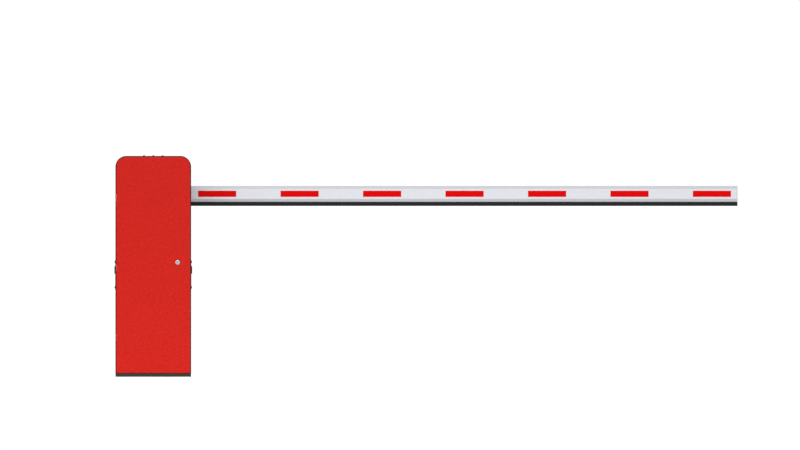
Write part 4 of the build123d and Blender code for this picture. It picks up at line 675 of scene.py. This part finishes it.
def extruded_aluminium(name, colour):
    """Satin-anodised extrusion: fine die lines along the boom and a soft sheen."""
    finish, shader = start_finish(name, 0.3, 0.4, 0.45)
    links = finish.node_tree.links
    lines = speckle(finish, 0.0035, 3.0, stretch=(0.004, 1.0, 1.0), roughness=0.7)
    links.new(two_tones(finish, lines, shade(colour, 0.96), shade(colour, 1.03)),
              shader.inputs["Base Color"])
    links.new(between(finish, lines, 0.4, 0.52), shader.inputs["Roughness"])
    relief(finish, shader, lines, 0.0002, 0.4)
    return finish


boom_skin = extruded_aluminium("boom_alu", (0.5, 0.505, 0.535))
dress(boom_skin, "boom_profile")
dress(rubber, "boom_rubber_edge")
cap_plastic = moulded("cap_plastic", (0.46, 0.46, 0.46), 0.5, 0.0009)
dress(cap_plastic, "boom_end_caps")


# ---- Reflectors ----------------------------------------------------------------------------------
# Strips of red prismatic film, cut to length and stuck to both faces of the boom. Sealed cells
# under the clear skin make a fine honeycomb.


def prismatic_film(name, colour):
    """Red retroreflective film: small sealed cells, with a slightly paler net between them."""
    finish, shader = start_finish(name, 0.0, 0.02, 0.5)
    tree = finish.node_tree
    place = tree.nodes.new("ShaderNodeTexCoord")
    cells = tree.nodes.new("ShaderNodeTexVoronoi")
    cells.feature = "DISTANCE_TO_EDGE"
    cells.inputs["Scale"].default_value = 1.0 / 0.0034
    cells.inputs["Randomness"].default_value = 0.25
    tree.links.new(place.outputs["Object"], cells.inputs["Vector"])
    net = cells.outputs["Distance"]
    tree.links.new(two_tones(finish, net, shade(colour, 1.25), colour, 0.0, 0.12),
                   shader.inputs["Base Color"])
    tree.links.new(between(finish, net, 0.5, 0.26, 0.0, 0.12), shader.inputs["Roughness"])
    relief(finish, shader, between(finish, net, 0.0, 1.0, 0.0, 0.15), 0.0001, 0.5)
    return finish


reflective_red = prismatic_film("reflective_red", (0.55, 0.0004, 0.0006))
dress(reflective_red, "reflectors")


# ---- Door ----------------------------------------------------------------------------------------
# A folded sheet door in red sand-textured powder coat, with a foamed gasket on its inner skin,
# which hangs on three pins in plated brackets.

dress(door_paint, "door_panel")
dress(rubber, "door_gasket")
dress(zinc, "hinge_brackets")


# ---- Lock ----------------------------------------------------------------------------------------
# A die-cast cam lock, polished and chromed, with a dished bezel round the plug. A hexagon nut
# clamps it to the door's skin, and the plug turns a plated cam.

LOCK_PLACE = (0.1116, 0.526)
BEZEL_RADIUS = 0.011
BEZEL_HEIGHT = 0.004
BEZEL_EDGE = 0.0011
BEZEL_RIM = 0.0014
BEZEL_SLOPE = 0.0012
BARREL_RADIUS = 0.008
PLUG_HOLE = 0.0058
PLUG_HOLE_DEPTH = 0.027
DOOR_FACE_Y = -0.141
NUT_FACE_Y = -0.1335
BARREL_END_Y = -0.1153

chrome = plated_steel("lock_chrome", (0.31, 0.31, 0.315), 0.002, 0.26)
front_disc(BEZEL_RADIUS, BEZEL_HEIGHT, LOCK_PLACE[0], DOOR_FACE_Y, LOCK_PLACE[1], 72)
bpy.ops.object.mode_set(mode="EDIT")
pick_front()
bpy.ops.mesh.bevel(offset=BEZEL_EDGE, segments=4)
pick_front()
bpy.ops.mesh.inset(thickness=BEZEL_RIM, depth=0.0)
bpy.ops.mesh.inset(thickness=BEZEL_SLOPE, depth=0.0)
push_in(0.0007)
bpy.ops.mesh.inset(
    thickness=BEZEL_RADIUS - BEZEL_EDGE - BEZEL_RIM - BEZEL_SLOPE - PLUG_HOLE, depth=0.0)
bpy.ops.mesh.extrude_region_move(TRANSFORM_OT_translate={"value": (0.0, 0.002, 0.0)})
bpy.ops.mesh.delete(type="FACE")
pick_faces(lambda middle, normal: normal.y > 0.99)
bpy.ops.mesh.inset(thickness=BEZEL_RADIUS - BARREL_RADIUS, depth=0.0)
bpy.ops.mesh.extrude_region_move(
    TRANSFORM_OT_translate={"value": (0.0, BARREL_END_Y - DOOR_FACE_Y, 0.0)})
bpy.ops.mesh.inset(thickness=BARREL_RADIUS - PLUG_HOLE, depth=0.0)
bpy.ops.mesh.extrude_region_move(TRANSFORM_OT_translate={"value": (0.0, -PLUG_HOLE_DEPTH, 0.0)})
bpy.ops.mesh.delete(type="FACE")
bpy.ops.object.mode_set(mode="OBJECT")
lock_bezel = put_down("lock_bezel", chrome, "door", 30.0)
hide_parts("lock_body")

front_disc(BARREL_RADIUS + 0.005, 0.006, LOCK_PLACE[0], NUT_FACE_Y, LOCK_PLACE[1], 6)
bpy.ops.object.mode_set(mode="EDIT")
pick_faces(lambda middle, normal: abs(normal.y) > 0.99)
bpy.ops.mesh.inset(thickness=0.0036, depth=0.0)
bpy.ops.object.mode_set(mode="OBJECT")
round_edges(0.0005, 2)
put_down("lock_nut", zinc, "door")

plug_steel = plated_steel("lock_plug_steel", (0.17, 0.17, 0.175), 0.0006, 0.4)
dress(plug_steel, "lock_plug")
dress(zinc, "lock_cam")


# ---- Studio --------------------------------------------------------------------------------------
# A pale floor in an even white surround, with one soft box overhead, a large one in front and a
# weaker one behind, which keeps the rear panel and the boom's holder out of the dark.

FLOOR_SIZE = (5.6, 2.4)
let_go()
bpy.ops.mesh.primitive_plane_add(size=1.0, location=(1.1, 0.0, 0.0))
bpy.context.object.scale = (*FLOOR_SIZE, 1.0)
bpy.ops.object.transform_apply(location=True, scale=True)
bpy.context.object.name = "studio_floor"
floor_paint, floor_shader = start_finish("studio_floor", 0.0, 0.1, 0.9)
floor_shader.inputs["Base Color"].default_value = (0.8, 0.8, 0.8, 1.0)
floor_shader.inputs["Emission Color"].default_value = (1.0, 1.0, 1.0, 1.0)


def brighter_when_seen(tree, socket, lighting, seen):
    """A strength for what the object is lit by, and another for what shows in the picture."""
    rays = tree.nodes.new("ShaderNodeLightPath")
    glow = tree.nodes.new("ShaderNodeMapRange")
    glow.inputs["To Min"].default_value = lighting
    glow.inputs["To Max"].default_value = seen
    tree.links.new(rays.outputs["Is Camera Ray"], glow.inputs["Value"])
    tree.links.new(glow.outputs["Result"], socket)


brighter_when_seen(floor_paint.node_tree, floor_shader.inputs["Emission Strength"], 0.28, 0.7)
bpy.context.object.data.materials.append(floor_paint)


def soft_box(name, place, aim, width, height, power):
    """A rectangular light at place that faces aim."""
    light = bpy.data.lights.new(name, "AREA")
    light.shape = "RECTANGLE"
    light.size = width
    light.size_y = height
    light.energy = power
    box = bpy.data.objects.new(name, light)
    box.location = place
    box.rotation_euler = (Vector(aim) - Vector(place)).to_track_quat("-Z", "Y").to_euler()
    box.visible_camera = False
    bpy.context.scene.collection.objects.link(box)


soft_box("overhead_box", (1.1, -0.6, 4.2), (1.1, 0.0, 0.0), 6.0, 3.5, 75.0)
soft_box("front_box", (0.9, -7.0, 2.2), (1.0, 0.0, 0.9), 12.0, 5.0, 550.0)
soft_box("back_box", (0.4, 6.0, 2.4), (0.4, 0.0, 0.8), 8.0, 4.0, 220.0)

world = bpy.data.worlds.new("studio")
bpy.context.scene.world = world
world.use_nodes = True
surround = world.node_tree.nodes["Background"]
brighter_when_seen(world.node_tree, surround.inputs["Strength"], 0.36, 1.05)
surround.inputs["Color"].default_value = (1.0, 1.0, 1.0, 1.0)

# The camera stands far off in front, so that the view is nearly free of perspective.
VIEW_WIDTH = 3.6832
VIEW_CENTRE = (1.1358, 0.0, 0.6977)
CAMERA_DISTANCE = 75.0
CAMERA_PLACE = (0.0, -CAMERA_DISTANCE, VIEW_CENTRE[2])
SENSOR_WIDTH = 36.0
camera_data = bpy.data.cameras.new("camera")
camera_data.sensor_width = SENSOR_WIDTH
camera_data.lens = SENSOR_WIDTH * CAMERA_DISTANCE / VIEW_WIDTH
camera_data.clip_start = 10.0
camera_data.clip_end = 150.0
camera = bpy.data.objects.new("camera", camera_data)
camera.location = CAMERA_PLACE
camera.rotation_euler = (
    (Vector(VIEW_CENTRE) - Vector(CAMERA_PLACE)).to_track_quat("-Z", "Y").to_euler())
bpy.context.scene.collection.objects.link(camera)
bpy.context.scene.camera = camera
bpy.context.scene.view_settings.view_transform = "Standard"
